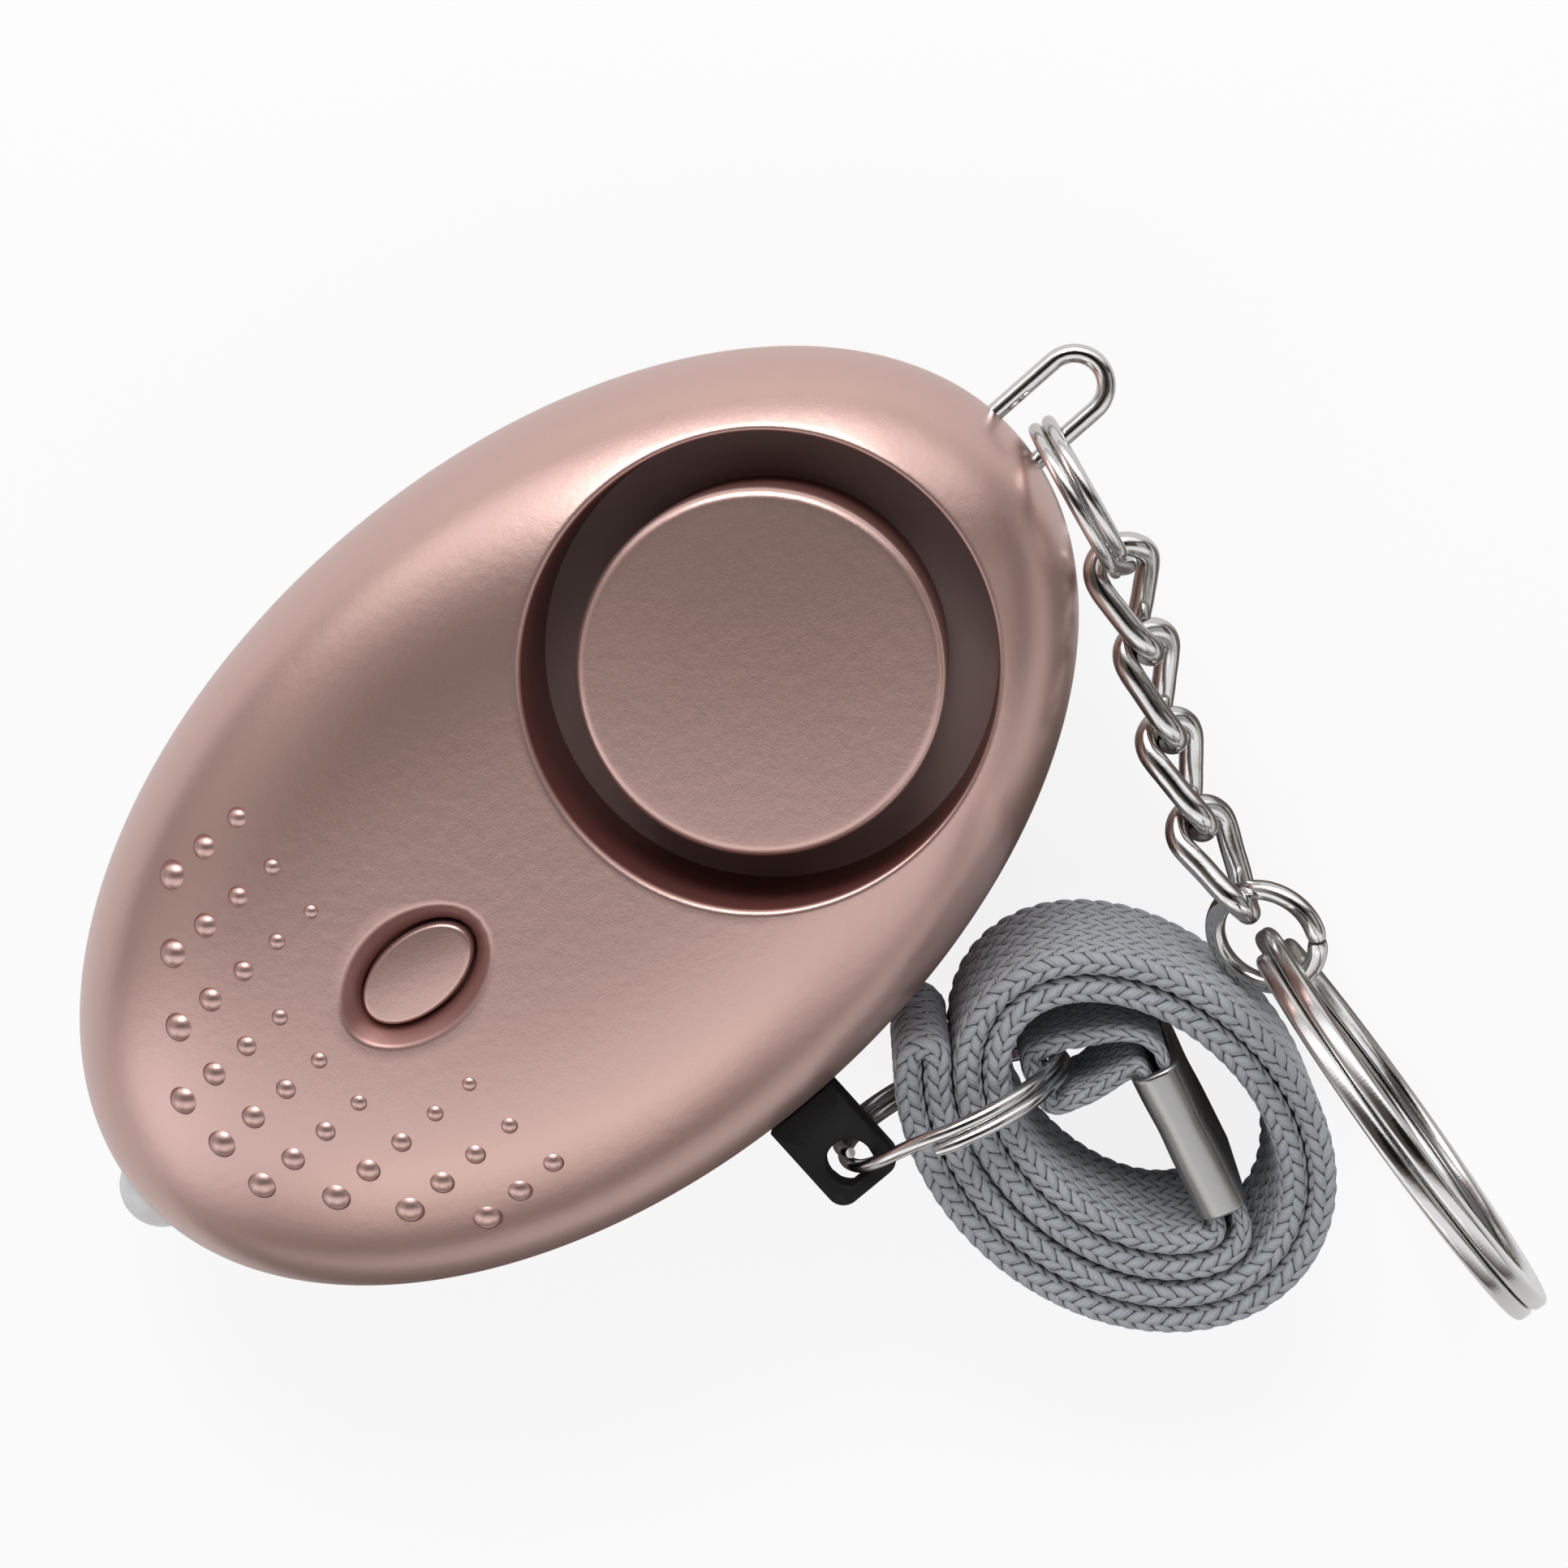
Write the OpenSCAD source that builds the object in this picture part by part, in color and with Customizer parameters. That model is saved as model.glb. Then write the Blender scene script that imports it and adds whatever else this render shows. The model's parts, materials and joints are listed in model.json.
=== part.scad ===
// Personal safety alarm: an egg-shaped siren with a torch, a pull pin on a wrist strap and a key chain.
// The body lies on its flat back: +Z leaves the front face, +X points at the key loop, -Y at the pull pin.
// All sizes are in millimetres.

/* [Body] */
// Length of the body along X
body_len = 65; // [62:0.5:72]
// Width of the body along Y
body_wid = 40; // [39:0.5:46]
// Thickness of the body along Z
body_thk = 21; // [20.6:0.1:24]
// Wall of both shells
wall = 1.6; // [1.2:0.1:1.8]
// Fullness of the body's edge, where 2 is an ellipsoid
edge_power = 4.6; // [3.8:0.1:6]

/* [Siren] */
// Distance of the siren's centre from the key loop end of the body
siren_from_end = 17.4; // [16.8:0.1:18.5]
// Bore of the siren's well
siren_rim_d = 24.3; // [22:0.1:25]
// Diameter of the siren's cap
siren_cap_d = 19; // [16:0.1:20]
// Depth of the groove round the cap, below the crown of the well
siren_depth = 7.4; // [6:0.1:7.6]
// Wall of the well's collar
collar_wall = 1.2; // [0.8:0.1:1.4]
// Diameter of the piezo disc
piezo_d = 20; // [16:0.5:20.5]

/* [Button] */
// Distance of the button's centre from the torch end of the body
button_from_end = 23.6; // [23:0.1:25]
// Length of the button
button_len = 7; // [6:0.1:8]
// Width of the button
button_wid = 4.1; // [3.5:0.1:5]
// Width of the sloped dish round the button
button_dish = 1; // [0.5:0.1:1.3]
// Press of the button
button_travel = 0.6; // [0.3:0.1:0.8]

/* [Torch] */
// Diameter of the torch lamp
led_d = 5; // [3:0.1:5.5]
// How far the lamp stands out of the body
led_out = 1.7; // [1:0.1:3]

/* [Cells] */
// Diameter of a button cell
cell_d = 11.6; // [9.5:0.1:11.8]
// Thickness of a button cell
cell_h = 5.4; // [3:0.1:5.6]

/* [Pull pin] */
// Width of the pin's tab
tab_wid = 4.6; // [4.2:0.1:6]
// Length of the tab outside the body
tab_len = 6; // [5.5:0.1:7]
// Thickness of the tab
tab_thk = 1.6; // [1.2:0.1:1.8]
// Bore in the tab for the ring
tab_bore = 2.7; // [2.6:0.05:3]
// Length of the tongue inside the body
tongue_len = 8; // [7:0.1:9]
// Diameter of the pin ring along the middle of its wire
pin_ring_d = 13.6; // [13.4:0.1:14.2]
// Wire of the pin ring and the bail ring
ring_wire = 0.78; // [0.7:0.01:0.82]

/* [Strap] */
// Width of the strap
strap_wid = 8.6; // [7.5:0.1:8.8]
// Thickness of the strap
strap_thk = 1.1; // [0.9:0.05:1.15]
// Width of the strap where it is folded in round the pin ring
eye_wid = 5; // [4:0.1:5.2]
// Length of the crimped sleeve on the strap
crimp_len = 8.6; // [8:0.1:8.8]
// Wall of the sleeve
crimp_wall = 0.4; // [0.3:0.05:0.5]

/* [Key chain] */
// Wire of the key loop
loop_wire = 1; // [0.8:0.05:1.1]
// How far the key loop stands out of the body
loop_out = 6.1; // [5.5:0.1:8]
// Diameter of the bail ring along the middle of its wire
bail_d = 8.8; // [8.6:0.1:10]
// Length of a chain link
link_len = 7.6; // [7.2:0.1:8.4]
// Width of a chain link
link_wid = 4.4; // [4.3:0.1:4.8]
// Wire of the chain links
link_wire = 1.1; // [0.95:0.05:1.1]
// Diameter of the jump ring along the middle of its wire
jump_d = 5.9; // [5.9:0.1:6.6]
// Wire of the jump ring
jump_wire = 1; // [0.8:0.05:1.05]
// Outer diameter of the key ring
key_ring_d = 24.8; // [22:0.1:30]
// Radial width of the key ring's flat wire
key_ring_wid = 2; // [1.6:0.1:2.1]
// Thickness of the key ring's two turns together
key_ring_thk = 1.9; // [1.6:0.1:2]

/* [Hidden] */
// Running clearance on a side between pieces that slide or swing
slide_gap = 0.15;
// Clearance on a side between pieces that are fixed together
seat_gap = 0.1;
// Overshoot of a cut past the face it opens
over = 1;
// Steps round a smooth outline, and round a wire of the chain
egg_steps = 56;
wire_sides = 8;
$fn = 64;

rose = [0.69, 0.57, 0.55];
dark = [0.22, 0.21, 0.21];
steel = [0.75, 0.75, 0.76];
black = [0.12, 0.12, 0.13];

parting_z = body_thk / 2;
// Angles at which the crown and the back are cut flat
crown_angle = 86;
back_angle = 72;

// Height of the front face over a point, from the same curve as the shell
function egg_share(x, y) = norm([2 * x / body_len, 2 * y / body_wid]);
function front_z(x, y) =
    parting_z + parting_z / sin(crown_angle) * sqrt(1 - pow(egg_share(x, y), edge_power));

siren_x = body_len / 2 - siren_from_end;
button_x = button_from_end - body_len / 2;
crown_in_z = body_thk - wall;
well_top_z = front_z(siren_x, 0);
plate_z = well_top_z - 0.7 - siren_depth;
plate_thk = 1.1;
plate_d = siren_rim_d + 2 * collar_wall;
cap_top_z = well_top_z - 0.6;
cap_wall = 1.2;
cap_foot = 0.8;

// Sounder under the plate
sounder_wall = 0.9;
sounder_h = 2.6;
ledge_h = 1.2;
ledge_wid = 0.9;
piezo_thk = 0.3;
ceramic_d = piezo_d - 5;
ceramic_thk = 0.25;
port_d = 2.2;
port_ring_d = siren_cap_d * 0.55;

// Cells, board and switch, stacked up from the floor
cell_count = 3;
cell_x = button_x - 3;
cell_z = wall + 0.7 + cell_d / 2;
contact_thk = 0.4;
contact_wid = cell_d * 0.7;
cell_end_y = cell_count * cell_h / 2;
cradle_wall = 0.9;
cradle_z = wall + 1.4;
cradle_h = 3.6;
board_z = cell_z + cell_d / 2 + 0.2;
board_thk = 1;
board_top_z = board_z + board_thk;
board_back = 12.5;
board_gap = 1;
board_x = [button_x - board_back, siren_x - plate_d / 2 - board_gap];
board_half_y = 9;
board_post_d = 2.4;
board_post_inset = 1.6;
// Ears of the board, which rest on posts past the ends of the cells
cell_room = cell_end_y + contact_thk + cradle_wall;
ear_x = button_x + 1.5;
ear_y = cell_room + 0.3 + board_post_d / 2;
ear_half = board_post_d / 2 + 0.4;
// Coil and chip on the board, in a line across it
chip_back = 7.2;
chip_len = 4.9;
chip_wid = 3.9;
chip_h = 1.4;
boost_d = 4.6;
boost_core_d = 3.2;
boost_flange = 0.8;
boost_core_h = 0.8;
switch_wid = 5;
switch_h = 1.6;
plunger_d = 2.3;
plunger_h = 0.9;
plunger_sunk = 0.3;
switch_top_z = board_top_z + switch_h;
flange_rim = 0.6;
flange_top_z = crown_in_z - 0.3;
flange_thk = 0.6;
button_sunk = 0.5;

// Lamp, at the end of the body away from the key loop
led_tip_x = -body_len / 2 - led_out;
led_flange_d = led_d + 0.8;
led_flange_x = -body_len / 2 + wall + 1;
led_flange_thk = 1;
lead_d = 0.5;
lead_gap = 2.54;
lead_inset = 1;
lead_drop_x = board_x[0] + lead_inset;

// Screws from the back
screw_back = 5;
screw_inset = 7.4;
screw_x = button_x - screw_back;
screw_y = body_wid / 2 - screw_inset;
screw_d = 1.6;
screw_len = 10;
screw_head_d = 3.4;
screw_head_h = 1.2;
boss_d = 4.2;
screw_seat_z = 4.2;

// Pull pin, and the ring through its tab
tab_x = -0.8;
tab_y = -body_wid / 2 - 0.2;
tab_end_y = tab_y - tab_len;
tab_corner = 1;
hole_y = tab_end_y + 1.9;
tongue_wid = 3.2;
tongue_thk = 1.2;
tongue_end_y = -body_wid / 2 + tongue_len;
socket_wid = 6;
socket_h = 4.4;
socket_y = [-body_wid / 2 + wall + 0.9, tongue_end_y + 1.6];
leaf_thk = 0.3;
leaf_wid = 2;
leaf_len = 4;
pin_ring_r = pin_ring_d / 2;
pin_ring_z = pin_ring_r + ring_wire / 2 + 0.3;
chord_angle = -17.3;
// Run of the ring along its chord, from the tab's bore to its own centre
hole_to_ring = sqrt(pow(pin_ring_r, 2) - pow(parting_z - pin_ring_z, 2));

// Strap: doubled, wound in a spiral and crimped, in a plane that tips about the ring's chord.
// Its points are measured from the bore in the tab.
strap_tilt = 9;
strand_gap = 0.53;
strand_pitch = strap_thk + strand_gap;
pair_pitch = 2 * strand_pitch + 0.1;
coil_x = 13.1;
coil_y = -8.4;
coil_rx = 9.6;
coil_ry = 12.85;
fold_angle = 125;
coil_end_angle = 602;
loop_steps = 24;
bend_steps = 4;
crimp_mid = [15.2, -10.86];
crimp_tail = 0.6;
crimp_angle = 74.5;
crimped_thk = 0.7;
crimped_half = (crimped_thk + strand_gap + 0.02) / 2;
eye_half = 1.8;
eye_square = 0.55;
eye_play = 0.2;
eye_reach = 12.2;
eye_end = hole_to_ring + pin_ring_r + ring_wire / 2 + 0.3;
// Middle of the strap at the very end of its eye, just inside the ring
eye_tip = hole_to_ring + sqrt(pow(pin_ring_r, 2) - pow(eye_wid / 2, 2))
    - ring_wire / 2 - eye_play - strap_thk / 2;
edge_round = 0.3;

function unit(v) = v / norm(v);
function left_of(v) = [-v[1], v[0]];
function heading(a) = [cos(a), sin(a)];
function mix(a, b, u) = a * (1 - u) + b * u;
function bezier(a, b, c, d, u) =
    pow(1 - u, 3) * a + 3 * u * pow(1 - u, 2) * b + 3 * u * u * (1 - u) * c + pow(u, 3) * d;

// Middle of the doubled strap, turning inwards by one pair of strands each turn
function coil_inset(a) = pair_pitch * (a - 180) / 360;
function coil_point(a) =
    [coil_x + (coil_rx - coil_inset(a)) * cos(a), coil_y + (coil_ry - coil_inset(a)) * sin(a)];
crimp_top = crimp_mid + (crimp_len / 2 + crimp_tail) * heading(crimp_angle);
crimp_bottom = crimp_mid - (crimp_len / 2 + crimp_tail) * heading(crimp_angle);
coil_end = coil_point(coil_end_angle);
coil_end_way = unit(coil_end - coil_point(coil_end_angle - 1));
eye_start = eye_end * heading(chord_angle);
eye_way = -heading(chord_angle);
coil_pull = 2.1;
eye_pull = 1.7;
half = strand_pitch / 2;
// Each row is a point, half the spacing of its two strands, their thickness and their width
function strap_row(p, h, t, w) = [p, h, t, w];
strap_rows = concat(
    [for (a = [fold_angle : 360 / loop_steps : coil_end_angle - 1])
        strap_row(coil_point(a), half, strap_thk, strap_wid)],
    [for (k = [0 : bend_steps - 1]) let (u = k / bend_steps)
        strap_row(bezier(coil_end, coil_end + coil_pull * coil_end_way,
                crimp_bottom - coil_pull * heading(crimp_angle), crimp_bottom, u),
            mix(half, crimped_half, pow(u, 2)), mix(strap_thk, crimped_thk, pow(u, 2)), strap_wid)],
    [for (run = [-crimp_len / 2 - crimp_tail, -crimp_len / 2, crimp_len / 2, crimp_len / 2 + crimp_tail])
        strap_row(crimp_mid + run * heading(crimp_angle), crimped_half, crimped_thk, strap_wid)],
    [for (k = [1 : bend_steps]) let (u = k / bend_steps)
        strap_row(bezier(crimp_top, crimp_top + eye_pull * heading(crimp_angle),
                eye_start - eye_pull * eye_way, eye_start, u),
            mix(crimped_half, eye_half, u), mix(crimped_thk, strap_thk, u), mix(strap_wid, eye_wid, u))],
    [strap_row(eye_reach * heading(chord_angle), eye_half, strap_thk, eye_wid)]
);
row_count = len(strap_rows);
function row_way(i) =
    unit(strap_rows[min(i + 1, row_count - 1)][0] - strap_rows[max(i - 1, 0)][0]);
function strand_row(i, side) = let (r = strap_rows[i])
    [r[0] + side * r[1] * left_of(row_way(i)), r[2], r[3]];
// Hairpin round the end of a pair: reach is how far it goes past the row, and a square under 1 fills
// its corners
function hairpin(i, side, way, reach, square) = let (r = strap_rows[i])
    [for (a = [30 : 30 : 150])
        let (across = sign(cos(a)) * pow(abs(cos(a)), square), ahead = pow(sin(a), square))
            [r[0] + side * r[1] * across * left_of(row_way(i)) + reach * ahead * way, r[2], r[3]]];
// One closed band: down one strand, round the eye, back along the other and round the fold
band = concat(
    [for (i = [0 : row_count - 1]) strand_row(i, 1)],
    hairpin(row_count - 1, 1, row_way(row_count - 1), eye_reach - eye_tip, eye_square),
    [for (i = [row_count - 1 : -1 : 0]) strand_row(i, -1)],
    hairpin(0, -1, -row_way(0), half, 1)
);
band_count = len(band);
function band_at(i) = band[(i + band_count) % band_count];
function band_way(i) = unit(band_at(i + 1)[0] - band_at(i - 1)[0]);
// Six corners of a band that is t thick and w wide on each side of its middle
function band_corners(t, w) = let (e = w - edge_round)
    [[t, -e], [t, e], [0, w], [-t, e], [-t, -e], [0, -w]];
function band_section(i) = let (b = band_at(i), n = left_of(band_way(i)))
    [for (c = band_corners(b[1] / 2, b[2] / 2)) [b[0][0] + c[0] * n[0], b[0][1] + c[0] * n[1], c[1]]];
band_len = norm(band_at(-1)[0] - band_at(0)[0])
    + sum_of([for (i = [1 : band_count - 1]) norm(band[i][0] - band[i - 1][0])]);
function sum_of(v) = v * [for (e = v) 1];
// Distance of a point from a stretch of the band
function to_stretch(p, a, b) =
    let (ab = b - a, u = max(0, min(1, ((p - a) * ab) / (ab * ab)))) norm(p - a - u * ab);
band_apart = 7;
least_gap = min([for (i = [0 : band_count - 1], j = [0 : band_count - 1])
    let (d = abs(i - j), e = min(d, band_count - d), a = band_at(j), b = band_at(j + 1))
    if (e > band_apart)
        to_stretch(band[i][0], a[0], b[0]) - (band[i][1] + max(a[1], b[1])) / 2]);
echo(strap_length = band_len, strap_least_gap = least_gap);

// Key chain, from the loop out to the key ring
loop_mid_r = 1.7;
loop_bar_x = body_len / 2 - 4.2;
loop_end_x = body_len / 2 + loop_out - loop_wire / 2;
post_d = 2 * loop_mid_r - loop_wire - 2 * slide_gap;
split_pitch = ring_wire - 0.04;
bail_heading = -101.5;
bail_hang_x = body_len / 2 + 1;
bail_r = bail_d / 2;
bail_drop = 0.5;
bail_play = 0.3;
bail_run = bail_r - ring_wire / 2 - loop_wire / 2 - bail_play;
bail_c = [bail_hang_x, -loop_mid_r, parting_z - bail_drop]
    + bail_run * [cos(bail_heading), sin(bail_heading), 0];
link_half = (link_len - link_wire) / 2;
link_mid_r = (link_wid - link_wire) / 2;
link_play = 0.2;
link_headings = [-114, -116, -111, -101];
link_dips = [-14, -7, 2, 8];
// How far each link's two ends are turned about its length
link_turns = [[0, -112], [-22, -112], [-22, -112], [-22, -90]];
link_count = len(link_headings);
link_rings = 28;
function way3(a, dip) = [cos(a) * cos(dip), sin(a) * cos(dip), sin(dip)];
// How far in from a link's end the wire that carries it lies: the bail's two turns need more room
bail_seat = link_wire / 2 + ring_wire / 2 + 0.5;
link_seat = link_wire + link_play;
function link_anchor(i) = i == 0
    ? bail_c + bail_r * [cos(bail_heading), sin(bail_heading), 0]
    : link_center(i - 1) + link_half * way3(link_headings[i - 1], link_dips[i - 1]);
function link_center(i) =
    link_anchor(i) + (link_half - (i == 0 ? bail_seat : link_seat)) * way3(link_headings[i], link_dips[i]);
jump_r = jump_d / 2;
jump_heading = -96;
jump_lean = 30;
jump_c = link_anchor(link_count)
    + (jump_r - link_wire / 2 - jump_wire / 2 - link_play) * [cos(jump_heading), sin(jump_heading), 0];
key_heading = -94.4;
key_mid_r = (key_ring_d - key_ring_wid) / 2;
key_c_z = key_ring_d / 2;
key_play = 0.9;
// Where the key ring passes through the jump ring, and from there to its centre
key_hook = jump_c
    + (jump_r - jump_wire / 2 - key_ring_wid / 2 - key_play) * [cos(key_heading), sin(key_heading), 0];
key_run = sqrt(pow(key_mid_r, 2) - pow(key_c_z - jump_c[2], 2));
key_c = [key_hook[0] + key_run * cos(key_heading), key_hook[1] + key_run * sin(key_heading), key_c_z];

echo(ring_hole = [tab_x, hole_y], ring_z = pin_ring_z, bail = bail_c, bail_end = link_anchor(0));
echo(links = [for (i = [0 : link_count - 1]) link_center(i)]);
echo(anchors = [for (i = [0 : link_count]) link_anchor(i)]);
echo(jump = jump_c, key_hook = key_hook, key = key_c);

// Faces between two rings of points that start at a and b
function skin(a, b, n) = [for (i = [0 : n - 1]) let (j = (i + 1) % n)
    each [[a + i, b + i, b + j], [a + i, b + j, a + j]]];
function flipped(faces) = [for (f = faces) [for (i = [len(f) - 1 : -1 : 0]) f[i]]];
function span(a, n) = [for (i = [0 : n - 1]) a + i];

// Rings of half an egg that rises from z 0 and ends flat at its crown
egg_angles = [0, 10, 20, 30, 40, 50, 60, 70, 80];
function egg_stops(stop) = concat([for (a = egg_angles) if (a < stop - 3) a], [stop]);
function egg_rings(inset, rise, stop) = [for (a = egg_stops(stop), i = [0 : egg_steps - 1])
    let (s = pow(cos(a), 2 / edge_power), t = 360 * i / egg_steps)
        [(body_len / 2 - inset) * s * cos(t), (body_wid / 2 - inset) * s * sin(t),
            rise * sin(a) / sin(stop)]];
function egg_skin(start, stop) = let (n = len(egg_stops(stop)), m = egg_steps) concat(
    [for (k = [0 : n - 2]) each skin(start + k * m, start + (k + 1) * m, m)],
    [flipped([span(start + (n - 1) * m, m)])[0]]);

module half_egg(inset, rise, stop) {
    polyhedron(egg_rings(inset, rise, stop), concat(egg_skin(0, stop), [span(0, egg_steps)]));
}

module half_shell(rise, stop) {
    outer = egg_rings(0, rise, stop);
    n = len(outer);
    polyhedron(concat(outer, egg_rings(wall, rise - wall, stop)),
        concat(egg_skin(0, stop), flipped(egg_skin(n, stop)), skin(n, 0, egg_steps)));
}

module oval(length, width) {
    steps = 40;
    polygon([for (i = [0 : steps - 1]) let (t = 360 * i / steps) [length / 2 * cos(t), width / 2 * sin(t)]]);
}

// What both shells leave free at the parting line: the lamp, the key loop and the pin's tongue
module parting_openings() {
    translate([-body_len / 2 - over, 0, parting_z]) rotate([0, 90, 0])
        cylinder(d = led_d + 2 * seat_gap, h = wall + 3 * over);
    for (side = [-1, 1])
        translate([loop_bar_x, side * loop_mid_r, parting_z]) rotate([0, 90, 0])
            cylinder(d = loop_wire + 2 * seat_gap, h = body_len / 2);
    translate([tab_x, -body_wid / 2 + wall / 2, parting_z])
        cube([tongue_wid + 2 * slide_gap, 2 * wall + 2 * over, tongue_thk + 2 * slide_gap], center = true);
}

module at_screws() {
    for (side = [-1, 1]) translate([screw_x, side * screw_y, 0]) children();
}

module at_board_posts() {
    for (side = [-1, 1]) {
        translate([board_x[0] + board_post_inset, side * (board_half_y - board_post_inset), 0]) children();
        translate([ear_x, side * ear_y, 0]) children();
    }
}

// Rows of small domes under the thumb, out from the middle: the count of each row, and its distance
// from the torch end of the body
dome_rows = [[4, 9.1], [4, 9.1], [5, 11.8], [4, 14.3], [3, 17]];
dome_sizes = [1.45, 1.2, 1, 0.8, 0.7];
dome_pitch_x = 2.5;
dome_pitch_y = 3.05;
module grip_dome(x, y, size) {
    ball = 0.62 * size;
    translate([x, y, front_z(x, y) - sqrt(ball * ball - size * size / 4)]) sphere(r = ball, $fn = 14);
}
module grip_domes() {
    for (row = [-4 : 4]) {
        plan = dome_rows[abs(row)];
        for (k = [0 : plan[0] - 1])
            grip_dome(plan[1] - body_len / 2 + k * dome_pitch_x, row * dome_pitch_y, dome_sizes[k]);
    }
}

module front_shell() color(rose) {
    hole_len = button_len + 2 * slide_gap;
    hole_wid = button_wid + 2 * slide_gap;
    dish = 2 * button_dish;
    difference() {
        union() {
            translate([0, 0, parting_z]) half_shell(parting_z, crown_angle);
            intersection() {
                translate([0, 0, parting_z]) half_egg(wall / 2, parting_z - wall / 2, crown_angle);
                union() {
                    translate([siren_x, 0, plate_z]) cylinder(d = plate_d, h = body_thk);
                    translate([0, 0, parting_z]) at_screws() cylinder(d = boss_d, h = body_thk);
                }
            }
            grip_domes();
        }
        translate([siren_x, 0, plate_z - over]) cylinder(d = siren_rim_d, h = body_thk);
        translate([button_x, 0, crown_in_z - over]) linear_extrude(body_thk) oval(hole_len, hole_wid);
        translate([button_x, 0, body_thk - button_dish])
            linear_extrude(button_dish + 0.01, slices = 1, scale = [1 + dish / hole_len, 1 + dish / hole_wid])
                oval(hole_len, hole_wid);
        parting_openings();
        translate([0, 0, parting_z - over]) at_screws()
            cylinder(d = screw_d + 2 * seat_gap, h = over + screw_seat_z + screw_len - parting_z);
    }
}

module back_shell() color(rose) {
    difference() {
        union() {
            translate([0, 0, parting_z]) mirror([0, 0, 1]) half_shell(parting_z, back_angle);
            intersection() {
                translate([0, 0, parting_z]) mirror([0, 0, 1])
                    half_egg(wall / 2, parting_z - wall / 2, back_angle);
                union() {
                    at_screws() cylinder(d = boss_d + 1.2, h = parting_z);
                    translate([loop_bar_x, 0, 0]) cylinder(d = post_d, h = parting_z);
                    at_board_posts() cylinder(d = board_post_d, h = parting_z);
                }
            }
            translate([loop_bar_x, 0, parting_z - over]) cylinder(d = post_d, h = over + loop_wire / 2);
            translate([0, 0, parting_z - over]) at_board_posts()
                cylinder(d = board_post_d, h = board_z - parting_z + over);
        }
        parting_openings();
        at_screws() {
            translate([0, 0, -over]) cylinder(d = screw_head_d + 2 * slide_gap, h = over + screw_seat_z);
            cylinder(d = screw_d + 2 * slide_gap, h = body_thk);
        }
    }
}

module siren_cap() color(rose) translate([siren_x, 0, 0]) {
    r = siren_cap_d / 2;
    lip = 0.8;
    rotate_extrude() difference() {
        union() {
            translate([0, plate_z + cap_foot]) square([r, cap_top_z - lip - plate_z - cap_foot]);
            translate([0, cap_top_z - lip]) square([r - lip, lip]);
            intersection() {
                translate([r - lip, cap_top_z - lip]) circle(r = lip);
                translate([r - lip, cap_top_z - lip]) square(lip);
            }
        }
        square([r - cap_wall, cap_top_z - cap_wall]);
    }
    for (a = [0 : 120 : 240])
        rotate(a) translate([r - cap_wall, -1, plate_z]) cube([cap_wall - seat_gap, 2, cap_foot + over / 2]);
}

module sounder_plate() color(dark) translate([siren_x, 0, plate_z - plate_thk]) difference() {
    cylinder(d = plate_d, h = plate_thk);
    for (a = [0 : 60 : 300])
        rotate(a) translate([port_ring_d / 2, 0, -over]) cylinder(d = port_d, h = plate_thk + 2 * over);
}

module sounder_ring() color(dark) translate([siren_x, 0, plate_z - plate_thk - sounder_h]) difference() {
    cylinder(d = piezo_d + 2 * seat_gap + 2 * sounder_wall, h = sounder_h);
    translate([0, 0, ledge_h]) cylinder(d = piezo_d + 2 * seat_gap, h = sounder_h);
    translate([0, 0, -over]) cylinder(d = piezo_d - 2 * ledge_wid, h = sounder_h + 2 * over);
}

piezo_z = plate_z - plate_thk - sounder_h + ledge_h;
module piezo_disc() color("goldenrod") translate([siren_x, 0, piezo_z]) cylinder(d = piezo_d, h = piezo_thk);
module piezo_ceramic() color("white")
    translate([siren_x, 0, piezo_z - ceramic_thk]) cylinder(d = ceramic_d, h = ceramic_thk);

module push_button() color(rose) translate([button_x, 0, 0]) {
    stem_z = switch_top_z + plunger_h - plunger_sunk;
    translate([0, 0, flange_top_z]) linear_extrude(body_thk - button_sunk - flange_top_z)
        oval(button_len, button_wid);
    translate([0, 0, flange_top_z - flange_thk]) linear_extrude(flange_thk)
        oval(button_len + 2 * flange_rim, button_wid + 2 * flange_rim);
    translate([0, 0, stem_z]) cylinder(d = plunger_d, h = flange_top_z - stem_z);
}

module switch_plunger() color(black)
    translate([button_x, 0, switch_top_z - plunger_sunk]) cylinder(d = plunger_d, h = plunger_h);

module tact_switch() color(dark) difference() {
    translate([button_x - switch_wid / 2, -switch_wid / 2, board_top_z])
        cube([switch_wid, switch_wid, switch_h]);
    translate([button_x, 0, switch_top_z - plunger_sunk - button_travel - slide_gap])
        cylinder(d = plunger_d + 2 * slide_gap, h = switch_h);
}

module circuit_board() color("darkgreen") translate([0, 0, board_z]) {
    translate([board_x[0], -board_half_y, 0]) cube([board_x[1] - board_x[0], 2 * board_half_y, board_thk]);
    translate([ear_x - ear_half, -ear_y - ear_half, 0])
        cube([2 * ear_half, 2 * (ear_y + ear_half), board_thk]);
}

module boost_coil() color(black) translate([button_x - chip_back, board_half_y / 2, board_top_z]) {
    cylinder(d = boost_d, h = boost_flange);
    translate([0, 0, boost_flange]) cylinder(d = boost_core_d, h = boost_core_h);
    translate([0, 0, boost_flange + boost_core_h]) cylinder(d = boost_d, h = boost_flange);
}

module driver_chip() color(black)
    translate([button_x - chip_back - chip_len / 2, -board_half_y / 2 - chip_wid / 2, board_top_z])
        cube([chip_len, chip_wid, chip_h]);

module cell(i) color(steel) translate([cell_x, -cell_end_y + i * cell_h, cell_z]) rotate([-90, 0, 0]) {
    rim = 0.8;
    cylinder(d = cell_d - 2 * rim, h = rim);
    translate([0, 0, rim]) cylinder(d = cell_d, h = cell_h - rim);
}

module cell_contact(side) color(steel)
    translate([cell_x, side * (cell_end_y + contact_thk / 2), cell_z])
        cube([contact_wid, contact_thk, contact_wid], center = true);

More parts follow.
